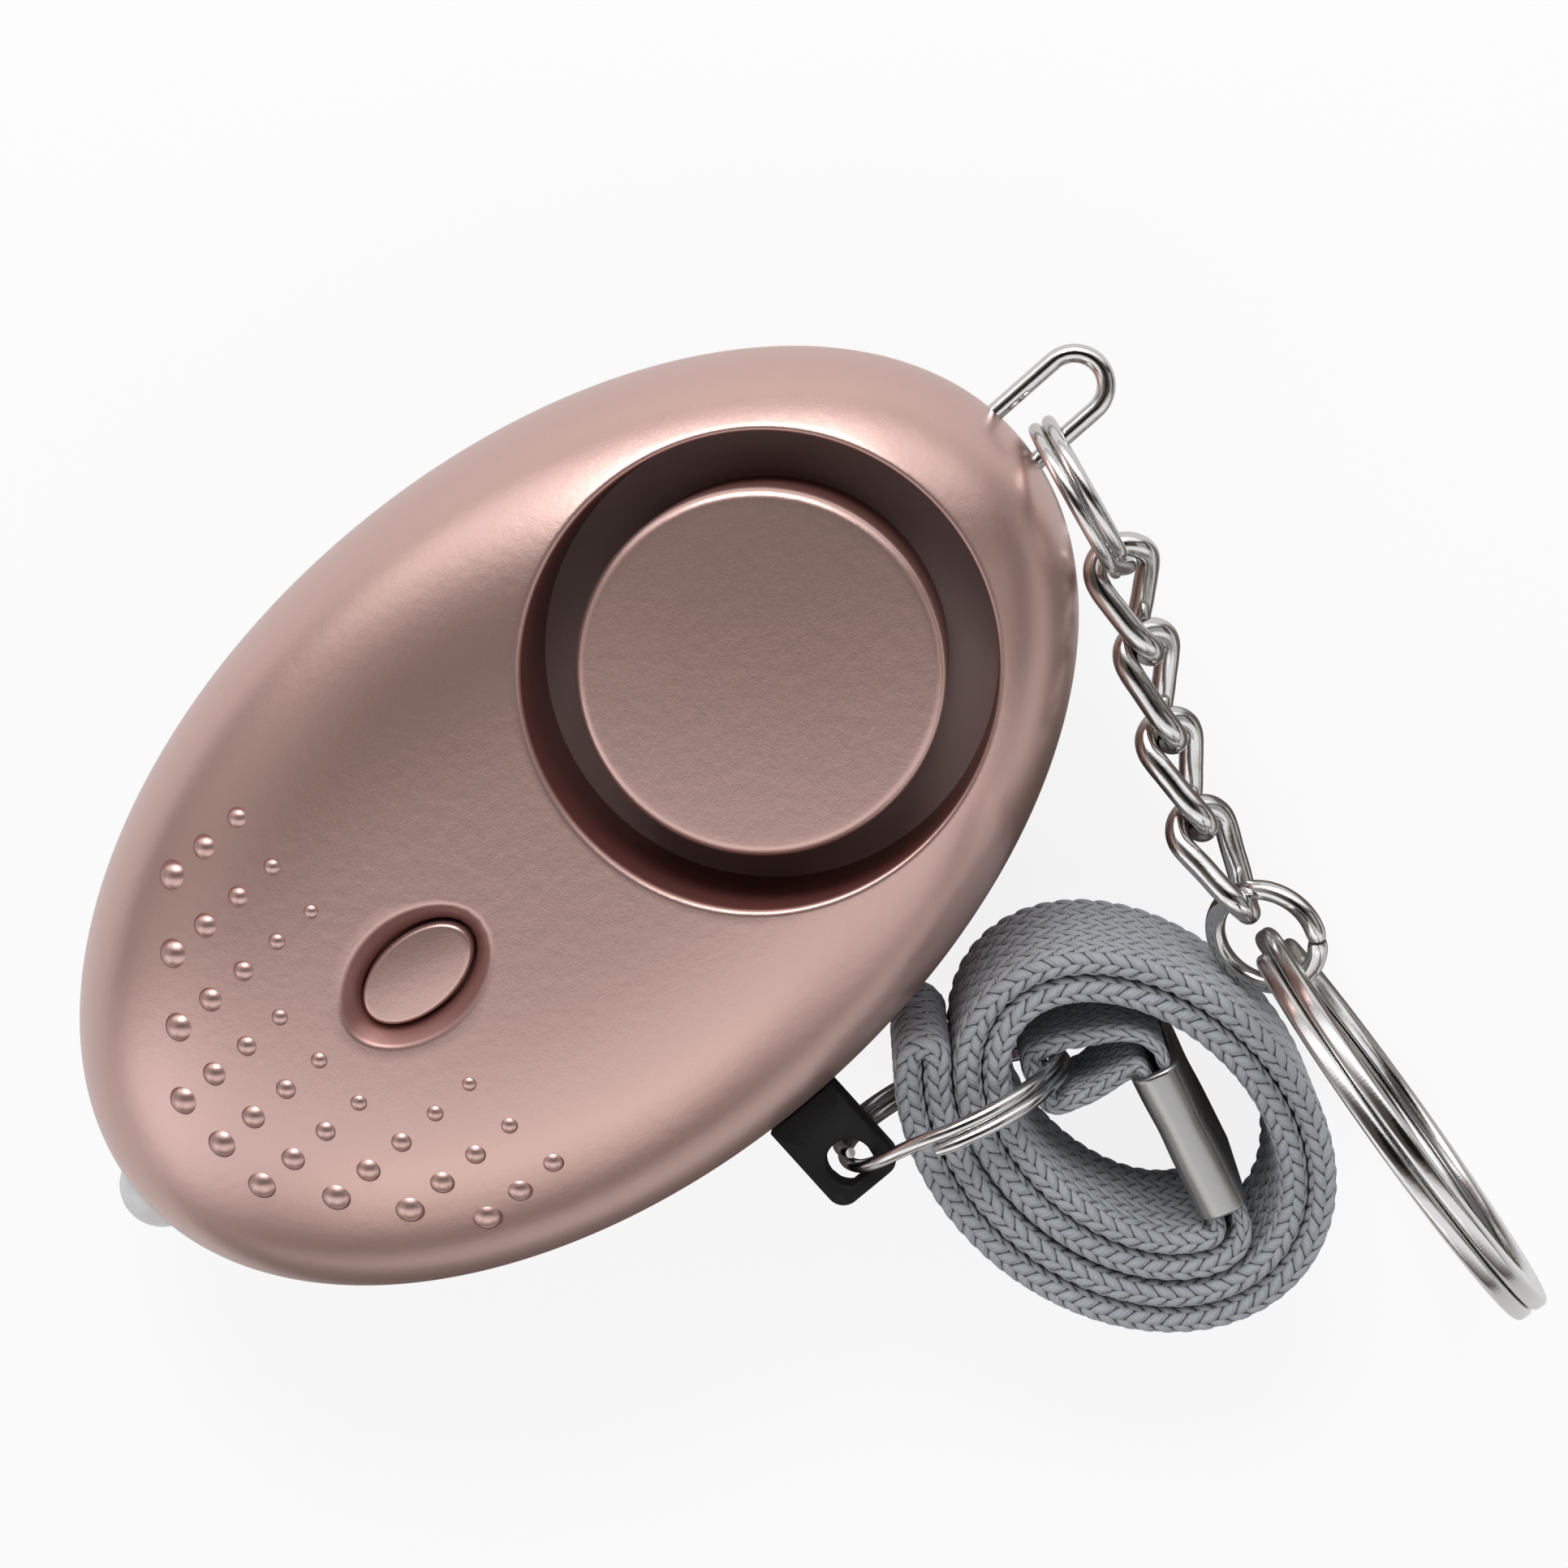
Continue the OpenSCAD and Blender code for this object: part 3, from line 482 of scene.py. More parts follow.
def slot_angles():
    """Angles on the edge of the body where the pin's slot begins and ends."""
    x = SLOT_X + np.array([-SLOT_HALF - 0.02, -SLOT_HALF, SLOT_HALF, SLOT_HALF + 0.02])
    return -np.arccos(x / HALF_LEN)


def holed_half(centre, rim, mouth, edge, join, side, seam):
    """Half of a shell round one hole. Lines run from the hole's foot up its mouth, over the surface to the
    shell's edge or to the join where two halves meet, and back along the inner wall."""
    rise = front_rise if side > 0 else back_rise
    targets = np.concatenate([edge, join])
    on_edge = np.arange(len(targets)) < len(edge)
    away = targets - centre
    far = np.linalg.norm(away, axis=1)
    way = away / far[:, None]
    near = rim(way)
    offset, level, shade = mouth
    hole_r = near[:, None] + offset[None]
    t = 1 - (1 - np.linspace(0, 1, 54)[1:]) ** 2
    in_slot = on_edge & (np.abs(targets[:, 0] - SLOT_X) <= SLOT_HALF + 0.001) & (targets[:, 1] < 0)
    trim = np.where(in_slot, (1 - (SLOT_HIGH / PARTING_Z) ** 2) ** (1 / EDGE_POWER), 1)
    run_r = hole_r[:, -1:] + ((far * trim)[:, None] - hole_r[:, -1:]) * t[None]
    r = np.concatenate([hole_r, run_r], 1)
    xy = centre + r[..., None] * way[:, None]
    z = PARTING_Z + side * rise(xy[..., 0], xy[..., 1]) + np.concatenate([level, np.zeros(len(t))])
    z[:, 0] = mouth_foot(centre, side)
    lip = xy[:, -1:] * np.where(on_edge, 1 - seam / HALF_WID, 1)[:, None, None]
    outer = np.concatenate([np.concatenate([xy, lip], 1), np.concatenate([z, z[:, -1:]], 1)[..., None]], -1)
    outer[:, -2, 2] += np.where(on_edge, side * seam * 0.6, 0)
    inner_edge = targets * np.array([(HALF_LEN - WALL) / HALF_LEN, (HALF_WID - WALL) / HALF_WID])
    inner_hole = centre + (near + COLLAR_WALL)[:, None] * way
    u = (1 - (1 - np.linspace(0, 1, 14)) ** 2)[::-1]
    inner_xy = inner_hole[:, None] + (inner_edge - inner_hole)[:, None] * u[None, :, None]
    scale = np.array([HALF_LEN / (HALF_LEN - WALL), HALF_WID / (HALF_WID - WALL)])
    inner_z = PARTING_Z + side * rise(*np.moveaxis(inner_xy * scale, -1, 0)) * (PARTING_Z - WALL) / PARTING_Z
    inner = np.concatenate([inner_xy, inner_z[..., None]], -1)
    points = np.concatenate([outer, inner], 1)
    lines, cols = points.shape[:2]
    faces = quads_of(lines, cols)
    line, col = np.divmod(np.arange(len(faces)), cols)
    open_strip = (col == outer.shape[1] - 1) & ~(on_edge[line] & on_edge[(line + 1) % lines])
    # Painted shade: the mouth's shade values on the lines of the hole, none over the surface and inside
    painted_shade = np.zeros(points.shape[:2])
    painted_shade[:, :len(shade)] = shade
    return points, faces[~open_strip].tolist(), painted_shade


# Where the front's two halves meet, the button's dish, and the seats of the button and of the screws
MEET_X = -3.1
DISH_HALF = (3.65, 2.2)
BUTTON_SEAT_Z = 18.2
SCREW_SEAT_Z = 4.2
SCREW_BORE = 1.85


def mouth_foot(centre, side):
    """Height of a hole's foot: the sounder's plate, the button's flange or the seat of a screw."""
    if side < 0:
        return SCREW_SEAT_Z
    return PLATE_HIGH[2] if centre[0] > 0 else BUTTON_SEAT_Z


def meeting(low, high, count=61):
    """Numbers from low to high that crowd towards both ends."""
    a = np.linspace(-90, 90, count)
    return (low + high) / 2 + (high - low) / 2 * np.sin(np.radians(a))


def front_shell(seam, rim_round):
    """The front: one half round the siren's well and one round the button, meeting across the body."""
    meet = math.acos(MEET_X / HALF_LEN)
    meet_y = HALF_WID * math.sin(meet)
    line_y = meeting(-meet_y, meet_y)[1:-1]
    line = np.stack([np.full(len(line_y), MEET_X), line_y], -1)
    right = egg_edge(np.sort(np.concatenate([np.linspace(-meet, meet, 230), slot_angles()])))
    left = egg_edge(np.linspace(meet, TURN - meet, 170))
    well_r = (PLATE_HIGH[0] - PLATE_LOW[0]) / 2 - COLLAR_WALL
    turn = np.radians(np.linspace(0, 90, 8))
    offsets = np.concatenate([[0], rim_round * (1 - np.cos(turn))])
    drops = np.concatenate([[0], rim_round * (np.sin(turn) - 1)])
    # Painted shade down the siren's well wall, fading out over the rim's round
    shade = np.concatenate([[1, 1], 1 - smooth(np.linspace(0.15, 1.3, 7))])
    siren = holed_half(
        np.array([SIREN_X, 0]), lambda way: np.full(len(way), well_r), (offsets, drops, shade),
        right, line[::-1], 1, seam)
    half_len, half_wid = DISH_HALF
    offsets = np.array([0, 0, 0.04, 0.12, 0.5, 0.86, 0.98, 1.1, 1.24])
    drops = np.array([0, -1.16, -1.06, -0.97, -0.56, -0.17, -0.07, -0.02, 0])
    # Painted shade in the button's dish: full down at the hole, fading out towards the dish's outer edge
    shade = np.array([1, 1, 0.96, 0.88, 0.82, 0.76, 0.48, 0.12, 0])
    button = holed_half(
        np.array([BUTTON_X, 0]), lambda way: 1 / np.hypot(way[:, 0] / half_len, way[:, 1] / half_wid),
        (offsets, drops, shade), left, line, 1, seam)
    points, faces = joined(siren[:2], button[:2])
    return points, faces, np.concatenate([siren[2].ravel(), button[2].ravel()])


def back_shell(seam):
    """The back: one half round each screw's bore, meeting on the long axis."""
    line_x = meeting(-HALF_LEN, HALF_LEN)[1:-1]
    line = np.stack([line_x, np.zeros(len(line_x))], -1)
    mouth = np.array([0, 0, 0.05, 0.15, 0.3]), np.array([0, 0.3, 0.15, 0.05, 0]), np.zeros(5)
    pin_side = np.sort(np.concatenate([np.linspace(-math.pi, 0, 220), slot_angles()]))
    halves = []
    for screw, angles, middle in (
            ("shell_screw_1", pin_side, line), ("shell_screw_2", np.linspace(0, math.pi, 220), line[::-1])):
        halves.append(holed_half(
            node_middle(screw)[:2], lambda way: np.full(len(way), SCREW_BORE), mouth,
            egg_edge(angles), middle, -1, seam)[:2])
    return joined(*halves)


def grip_domes():
    """Spheres sunk in the front in rows of three to five, smaller towards the button, with painted shade at the
    foot.
    """
    rows = {0: (4, 9.1), 1: (4, 9.1), 2: (5, 11.8), 3: (4, 14.3), 4: (3, 17.0)}
    pitch, row_pitch, ball_share = 2.5, 3.05, 0.62
    sizes = np.array([1.55, 1.3, 1.1, 0.9, 0.78])
    places = np.array([
        (start - HALF_LEN + k * pitch, row * row_pitch, sizes[k])
        for row in range(-4, 5) for count, start in [rows[abs(row)]] for k in range(count)])
    x, y, size = places.T
    ball = ball_share * size
    z = PARTING_Z + front_rise(x, y) - np.sqrt(ball ** 2 - size ** 2 / 4)
    a = np.radians(np.concatenate([np.linspace(0, 64, 11), np.linspace(85, 180, 4)]))
    sphere, faces = lathe(np.stack([np.sin(a), np.cos(a)], -1), 24)
    points = sphere[None] * ball[:, None, None, None] + np.stack([x, y, z], -1)[:, None, None]
    # Painted shade at each sphere's foot, where it sinks into the shell: dark towards the foot, none on the top
    foot = np.broadcast_to(1 - smooth((np.cos(a) - 0.6) / 0.16), points.shape[:3])
    return *joined(*[(p, faces) for p in points]), foot


def siren_cap(edge_round, crown):
    """The cap: a skirt, a round edge and a slightly crowned top."""
    r = (CAP_HIGH[0] - CAP_LOW[0]) / 2
    top = CAP_HIGH[2]
    wall = 1.2
    inside = np.array([[0.0, top - wall], [r - wall, top - wall], [r - wall, CAP_LOW[2]], [r, CAP_LOW[2]]])
    rim = arc((r - edge_round, top - edge_round), edge_round, 0, 90, 9)
    run = np.linspace(r - edge_round, 0, 26)[1:]
    face = np.stack([run, top + crown * (1 - (run / (r - edge_round)) ** 2)], -1)
    profile = np.concatenate([inside, rim, face])
    points, faces = lathe(profile, 192)
    # Painted shade on the skirt below the round edge, where the cap stands down in the well
    painted_shade = smooth((top - edge_round * 0.7 - profile[:, 1]) / (edge_round * 0.4))
    return points + np.array([SIREN_X, 0, 0]), faces, np.broadcast_to(painted_shade, points.shape[:2])


# The button's half length and width, the round of its edge, and its flange's reach, underside and top
BUTTON_HALF = np.array([3.5, 2.05])
BUTTON_ROUND = 0.32
FLANGE_OUT = 0.6
FLANGE_LOW = 18.5
FLANGE_HIGH = 19.05


def push_button(crown):
    """The button: an oval stem with a round edge and a crowned top, over its flange."""
    a = np.arange(96) * TURN / 96
    rim = arc((BUTTON_ROUND, BUTTON_TOP - BUTTON_ROUND), BUTTON_ROUND, 180, 90, 7)
    inset = np.concatenate([[-FLANGE_OUT, -FLANGE_OUT, 0.0], rim[:, 0]])
    oval = np.stack([np.cos(a), np.sin(a)], -1)
    sides = oval[:, None] * (BUTTON_HALF - inset[:, None])
    share = np.linspace(1, 0, 12)[1:]
    lid = oval[:, None] * ((BUTTON_HALF - BUTTON_ROUND) * share[:, None])
    xy = np.concatenate([np.zeros((len(a), 1, 2)), sides, lid], 1)
    z = np.concatenate([
        [FLANGE_LOW, FLANGE_LOW, FLANGE_HIGH, FLANGE_HIGH], rim[:, 1], BUTTON_TOP + crown * (1 - share ** 2)])
    points = np.concatenate([xy, np.broadcast_to(z[None, :, None], (*xy.shape[:2], 1))], -1)
    # Painted shade on the sides and flange below the round edge, down in the dish
    painted_shade = np.broadcast_to(smooth((BUTTON_TOP - 0.22 - z) / 0.25), points.shape[:2])
    return points + np.array([BUTTON_X, 0, 0]), quads_of(*points.shape[:2]).tolist(), painted_shade


def along_body(points, start):
    """Points of a turned piece laid along the body, from a start towards the torch's end."""
    return np.stack([start - points[..., 2], points[..., 1], points[..., 0] + PARTING_Z], -1)


def lamp_dome():
    """The lamp: a flange, a straight side and a round end."""
    low, high = node_box("torch_led")
    r, flange, flange_len = 2.5, 2.9, 1.0
    foot = np.array([[0, 0], [flange, 0], [flange, flange_len], [r, flange_len]])
    end = arc((0, high[0] - low[0] - r), r, 0, 90, 15)
    points, faces = lathe(np.concatenate([foot, end]), 64)
    return along_body(points, high[0]), faces


def lamp_cup():
    """The cup inside the lamp: a short cone with a flat chip, on its post."""
    profile = np.array([
        [0, 0], [0.3, 0], [0.3, 1.1], [0.55, 1.2], [1.0, 2.0], [0.9, 2.02], [0.5, 1.4], [0, 1.4]])
    points, faces = lathe(profile, 40)
    return along_body(points, node_box("torch_led")[1][0] - 0.4), faces


# Where the tab ends beside the body, and where its tongue begins inside it
TAB_Y = -20.2
TONGUE_Y = -20.7


def pull_pin():
    """The tab: a plate round its bore with eased edges, and the tongue that runs into the body."""
    low, high = node_box("pull_pin")
    bore, corner, thick, ease = 1.35, 1, 0.8, 0.14
    half, end, top = (high[0] - low[0]) / 2, low[1] - PIN_HOLE[1], TAB_Y - PIN_HOLE[1]
    bottom = [
        *arc((corner - half, end + corner), corner, 180, 270, 9),
        *arc((half - corner, end + corner), corner, 270, 360, 9)]
    rise = np.linspace(end + 2 * corner, top, 9)
    across = np.linspace(half, -half, 9)[1:-1]
    upper = [[half, y] for y in rise] + [[x, top] for x in across] + [[-half, y] for y in rise[::-1]]
    outline = np.array(bottom + upper)
    way = outline / np.linalg.norm(outline, axis=1, keepdims=True)
    loops = [
        (way * bore, ease - thick), (way * bore, thick - ease), (way * (bore + ease), thick),
        (outline * (1 - ease / 3), thick), (outline, thick - ease), (outline, ease - thick),
        (outline * (1 - ease / 3), -thick), (way * (bore + ease), -thick)]
    plate = np.stack([np.concatenate([xy, np.full((len(xy), 1), z)], 1) for xy, z in loops], 1)
    path = np.array([[0, y, 0] for y in np.linspace(TONGUE_Y - PIN_HOLE[1], high[1] - PIN_HOLE[1], 8)])
    section = eased(rounded_box(3.2, 1.2, 0.2), len(path), 0.3, 2)
    tongue = carried(path, np.tile([1.0, 0, 0], (len(path), 1)), section, False)
    points, faces = joined((plate, quads_of(*plate.shape[:2]).tolist()), tongue)
    return points + PIN_HOLE, faces


# Radii of the rings' middle lines and of their wires, how far a split ring's turns lie apart, and the heading
# of the chord that the strap hangs from
PIN_RING_R = 6.8
BAIL_R = 4.4
JUMP_R = 2.95
SPLIT_WIRE = 0.385
JUMP_WIRE = 0.55
LOOP_WIRE = 0.5
SPLIT_PITCH = 0.8
CHORD_DEGREES = -17.3


def split_ring(radius, pitch, section, start, overlap=52.0, steps=220):
    """Two turns of one wire: it lies on one side for a turn, crosses over and lies on the other side."""
    gap = math.radians(overlap)
    a = np.linspace(0, 2 * TURN - gap, steps)
    lift = pitch * (smooth((a - (TURN - gap)) / gap) - 0.5)
    b = a + math.radians(start)
    path = np.stack([radius * np.cos(b), radius * np.sin(b), lift], -1)
    out = np.stack([np.cos(b), np.sin(b), np.zeros(steps)], -1)
    return carried(path, out, eased(section, steps), False)


def pin_ring():
    """The ring through the tab, upright on the chord that the strap hangs from."""
    points, faces = split_ring(PIN_RING_R, SPLIT_PITCH, round_section(SPLIT_WIRE), 150)
    return turned(points, node_middle("pin_ring"), CHORD_DEGREES), faces


def bail_ring():
    """The small ring between the loop and the chain."""
    points, faces = split_ring(BAIL_R, SPLIT_PITCH, round_section(SPLIT_WIRE), 40, 40)
    return turned(points, node_middle("bail_ring"), -101.5), faces


def key_ring():
    """The key ring: two turns of flat wire with round edges."""
    low, high = node_box("key_ring")
    outer = (high[2] - low[2]) / 2
    points, faces = split_ring(outer - 1.0, 0.97, rounded_box(1.98, 0.93, 0.3), 217, 44, 300)
    return turned(points, (low + high) / 2, -94.4), faces


def jump_ring():
    """A round ring of thick wire with a butt joint."""
    a = np.radians(np.linspace(64, 64 + 357, 110))
    path = np.stack([np.cos(a), np.sin(a), np.zeros(len(a))], -1)
    points, faces = carried(path * JUMP_R, path, eased(round_section(JUMP_WIRE, 24), len(a), 0.12), False)
    return turned(points, node_middle("jump_ring"), -96, 30), faces


def key_loop():
    """The wire loop: two bars with a half turn at each end."""
    low, high = node_box("key_loop")
    r = 1.7
    ends = high[0] - LOOP_WIRE - r, low[0] + LOOP_WIRE + r
    bars = np.linspace(0, 1, 24)[1:-1]
    near = arc((ends[0], 0), r, -90, 90, 33)
    far = arc((ends[1], 0), r, 90, 270, 33)
    out = np.stack([ends[0] + (ends[1] - ends[0]) * bars, np.full(len(bars), r)], -1)
    back = np.stack([ends[1] + (ends[0] - ends[1]) * bars, np.full(len(bars), -r)], -1)
    path = np.concatenate([near, out, far, back])
    path = np.concatenate([path, np.full((len(path), 1), PARTING_Z)], 1)
    return carried(path, np.tile([0, 0, 1.0], (len(path), 1)), round_section(LOOP_WIRE, 24), True)


# How each link of the chain points and dips, and how far its two ends are turned about its length
LINK_HEADINGS = (-114, -116, -111, -101)
LINK_DIPS = (-14, -7, 2, 8)
LINK_TURNS = ((0, -112), (-22, -112), (-22, -112), (-22, -90))


def chain_link(index):
    """A curb link: the wire follows an oval that turns about its length from its first end to its last."""
    half, mid, waist = 3.25, 1.65, 0.08
    wire = 0.67 if index else 0.655
    straight = half - mid
    a = np.radians(np.linspace(-90, 90, 57)[:-1])
    end = np.stack([straight + mid * np.cos(a), mid * np.sin(a)], -1)
    side_x = np.linspace(straight, -straight, 30)[1:]
    side = np.stack([side_x, mid - waist * np.cos(side_x / straight * math.pi / 2) ** 2], -1)
    flat = np.concatenate([end, side, -end, -side])
    bulge = np.sign(flat[:, 0]) * np.maximum(0, np.abs(flat[:, 0]) - straight)
    twist = np.radians(np.interp(flat[:, 0], (-half, half), LINK_TURNS[index]))
    c, s = np.cos(twist), np.sin(twist)
    path = np.stack([flat[:, 0], flat[:, 1] * c, flat[:, 1] * s], -1)
    out = np.stack([bulge, flat[:, 1] * c, flat[:, 1] * s], -1)
    points, faces = carried(path, out, round_section(wire, 22), True)
    dip = Matrix.Rotation(math.radians(-LINK_DIPS[index]), 3, "Y")
    turn = np.array(Matrix.Rotation(math.radians(LINK_HEADINGS[index]), 3, "Z") @ dip)
    seat = 1.44 if index == 0 else 1.3
    centre = joint_place(f"link_{index + 1}_swing") + (half - seat) * turn[:, 0]
    return points @ turn.T + centre, faces


# The strap's route, in its own plane and from the bore in the tab
CHORD = math.radians(CHORD_DEGREES)
STRAP_TILT = 9
STRAP_WIDTH = 8.6
PAIR_HALF = 0.815
PAIR_PITCH = 3.36
COIL = np.array([13.1, -8.4])
COIL_HALF = np.array([9.6, 12.85])
COIL_TURNS = (125, 602)
CRIMP_MID = np.array([15.2, -10.86])
CRIMP_ANGLE = math.radians(74.5)
CRIMP_LEN = 8.6
CRIMP_TAIL = 0.6
CRIMP_LIP = 0.5
CRIMPED_THICK = 0.7
CRIMPED_HALF = 0.625
EYE_HALF = 1.8
EYE_WIDTH = 5.0
EYE_REACH = 12.2
EYE_TIP_INSET = 0.2
EYE_ROOM = 0.3
RING_WIRE = 0.39
CAD_THICK = 1.1


def way_of(angle):
    return np.array([math.cos(angle), math.sin(angle)])


def coil_at(degrees):
    """The middle of the doubled strap: an oval that draws in by one pair of strands each turn."""
    a = np.radians(degrees)
    half = COIL_HALF - (PAIR_PITCH * (np.asarray(degrees) - 180) / 360)[..., None]
    return COIL + half * np.stack([np.cos(a), np.sin(a)], -1)


def bezier(a, b, c, d, u):
    u = u[:, None]
    return (1 - u) ** 3 * a + 3 * u * (1 - u) ** 2 * b + 3 * u * u * (1 - u) * c + u ** 3 * d


def strap_rows(thick):
    """Rows of the doubled strap: a point, half its strands' spacing, their thickness and their width."""
    to_ring = math.sqrt(PIN_RING_R ** 2 - (PIN_HOLE[2] - joint_place("strap_tip")[2]) ** 2)
    eye_end = to_ring + PIN_RING_R + RING_WIRE + EYE_ROOM
    inside = math.sqrt(PIN_RING_R ** 2 - (EYE_WIDTH / 2) ** 2)
    eye_tip = to_ring + inside - RING_WIRE - EYE_TIP_INSET - CAD_THICK / 2
    coil = coil_at(np.linspace(*COIL_TURNS, 200)[:-1])
    last = coil_at(COIL_TURNS[1] - np.array([1.0, 0.0]))
    end_way = (last[1] - last[0]) / np.linalg.norm(last[1] - last[0])
    crimp_way = way_of(CRIMP_ANGLE)
    half_run = CRIMP_LEN / 2 + CRIMP_TAIL
    low, high = CRIMP_MID - half_run * crimp_way, CRIMP_MID + half_run * crimp_way
    u = np.linspace(0, 1, 22)
    rise = bezier(last[1], last[1] + 2.1 * end_way, low - 2.1 * crimp_way, low, u[:-1])
    sleeve = CRIMP_MID + np.linspace(-half_run, half_run, 26)[:, None] * crimp_way
    eye_start = eye_end * way_of(CHORD)
    over = bezier(high, high + 1.7 * crimp_way, eye_start + 1.7 * way_of(CHORD), eye_start, u[1:])
    run = np.linspace(eye_end, EYE_REACH, 5)[1:, None] * way_of(CHORD)
    points = np.concatenate([coil, rise, sleeve, over, run])

    def sizes(coiled, pressed, eye):
        """A size on each row, from its value along the coil, in the sleeve and at the eye."""
        return np.concatenate([
            np.full(len(coil), coiled), coiled + (pressed - coiled) * u[:-1] ** 2,
            np.full(len(sleeve), pressed), pressed + (eye - pressed) * u[1:], np.full(len(run), eye)])

    half = sizes(PAIR_HALF, CRIMPED_HALF, EYE_HALF)
    depth = sizes(thick, CRIMPED_THICK, CAD_THICK)
    width = sizes(STRAP_WIDTH, STRAP_WIDTH, EYE_WIDTH)
    return points, half, depth, width, EYE_REACH - eye_tip


def left_of(v):
    return np.stack([-v[..., 1], v[..., 0]], -1)


def hairpin(point, ahead, half, reach, square):
    """The turn at the end of a pair of strands; a square under 1 fills its corners."""
    a = np.radians(np.linspace(0, 180, 27)[1:-1])
    across = np.sign(np.cos(a)) * np.abs(np.cos(a)) ** square
    return point + half * across[:, None] * left_of(ahead) + (reach * np.sin(a) ** square)[:, None] * ahead


def strap_line(thick):
    """The closed line of the strap: one strand, the eye, the other strand and the fold, evenly spaced."""
    points, half, depth, width, eye_reach = strap_rows(thick)
    ahead = np.gradient(points, axis=0)
    ahead /= np.linalg.norm(ahead, axis=1, keepdims=True)
    off = half[:, None] * left_of(ahead)
    eye = hairpin(points[-1], ahead[-1], half[-1], eye_reach, 0.55)
    fold = hairpin(points[0], -ahead[0], half[0], PAIR_HALF, 1)
    ring = np.concatenate([points + off, eye, (points - off)[::-1], fold, points[:1] + off[:1]])
    depth, width = (
        np.concatenate([size, np.full(len(eye), size[-1]), size[::-1], np.full(len(fold) + 1, size[0])])
        for size in (depth, width))
    along = np.concatenate([[0], np.cumsum(np.linalg.norm(np.diff(ring, axis=0), axis=1))])
    return ring, depth, width, along, points


def in_strap_plane(points):
    """Points of the strap's plane, tipped about the chord of the pin ring, in the frame of the model."""
    spin = Matrix.Rotation(CHORD, 3, "Z") @ Matrix.Rotation(math.radians(STRAP_TILT), 3, "X")
    turn = np.array(spin @ Matrix.Rotation(-CHORD, 3, "Z"))
    return points @ turn.T + joint_place("strap_tip")


def braided_strap(thick, stitch, relief, columns):
    """The band: a flat section with round edges carried along the closed line, pushed out by its stitches."""
    ring, depth, width, along, middle = strap_line(thick)
    count = round(along[-1] / stitch)
    rows, sides = 5 * count, 4 * columns
    step = np.arange(rows + 1) / 5
    at = step[:-1] / count * along[-1]
    line = np.stack([np.interp(at, along, ring[:, k]) for k in (0, 1)], -1)
    depth, width = np.interp(at, along, depth), np.interp(at, along, width)
    ahead = np.roll(line, -2, 0) - np.roll(line, 2, 0)
    ahead /= np.linalg.norm(ahead, axis=1, keepdims=True)
    side = left_of(ahead)
    flat, bend = STRAP_WIDTH - thick, math.pi * thick / 2
    loop = 2 * (flat + bend)
    column = np.arange(sides + 1) / 4
    edge = (flat + bend / 2) / loop * columns
    run = ((column[:-1] - edge % 1) % columns) / columns * loop
    over = run >= loop / 2
    part = run % (loop / 2)
    turn = np.clip(part - flat, 0, None) / (thick / 2)
    face = np.where(over, -1, 1)
    out_u, out_v = face * np.cos(turn), face * np.sin(turn)
    v = face * (np.minimum(part, flat) - flat / 2) + out_v * thick / 2
    raised = stitch_height(step[:-1, None], column[None, :-1])
    lift = relief * (raised - 0.6) * np.clip(depth / thick, 0.55, 1)[:, None]
    across = out_u * (depth[:, None] / 2 + lift)
    up = v * (width / STRAP_WIDTH)[:, None] + out_v * lift
    xy = line[:, None] + across[..., None] * side[:, None]
    points = in_strap_plane(np.concatenate([xy, up[..., None]], -1))
    i, j = np.meshgrid(np.arange(rows), np.arange(sides), indexing="ij")
    corners = [(i, j), (i + 1, j), (i + 1, j + 1), (i, j + 1)]
    uv = np.stack([np.stack([step[a], column[b]], -1) for a, b in corners], 2)
    path = in_strap_plane(np.concatenate([middle, np.zeros((len(middle), 1))], 1))
    return points, quads_of(rows, sides).tolist(), uv, path


def strap_crimp():
    """The sleeve: a tube with a long rounded section, turned-in ends and a slight pinch along its middle."""
    half_run = CRIMP_LEN / 2 + CRIMP_LIP
    run = np.concatenate([[-1, -0.995, -0.975], np.linspace(-0.95, 0.95, 31), [0.975, 0.995, 1]]) * half_run
    size = np.array([2.85, 9.5])
    outer = rounded_box(*size, 1.15, 10)
    shrink = np.clip((np.abs(run) / half_run - 0.97) / 0.03, 0, 1) ** 2 * 0.14
    pinch = 0.07 * np.exp(-((run - 1.1) / 1.4) ** 2)
    drawn = shrink[:, None] + pinch[:, None] * np.array([1, 0])
    walls = outer[None] * (1 - drawn / (size / 2))[:, None]
    bore = outer[None] * np.array([0.74, 0.9])
    section = np.concatenate([walls, np.repeat(bore, len(run), 0)[::-1]])
    along = np.concatenate([run, run[::-1]])
    way = way_of(CRIMP_ANGLE)
    xy = CRIMP_MID + along[:, None, None] * way + section[..., :1] * left_of(way)
    points = in_strap_plane(np.concatenate([xy, section[..., 1:]], -1))
    return points, quads_of(*points.shape[:2]).tolist()


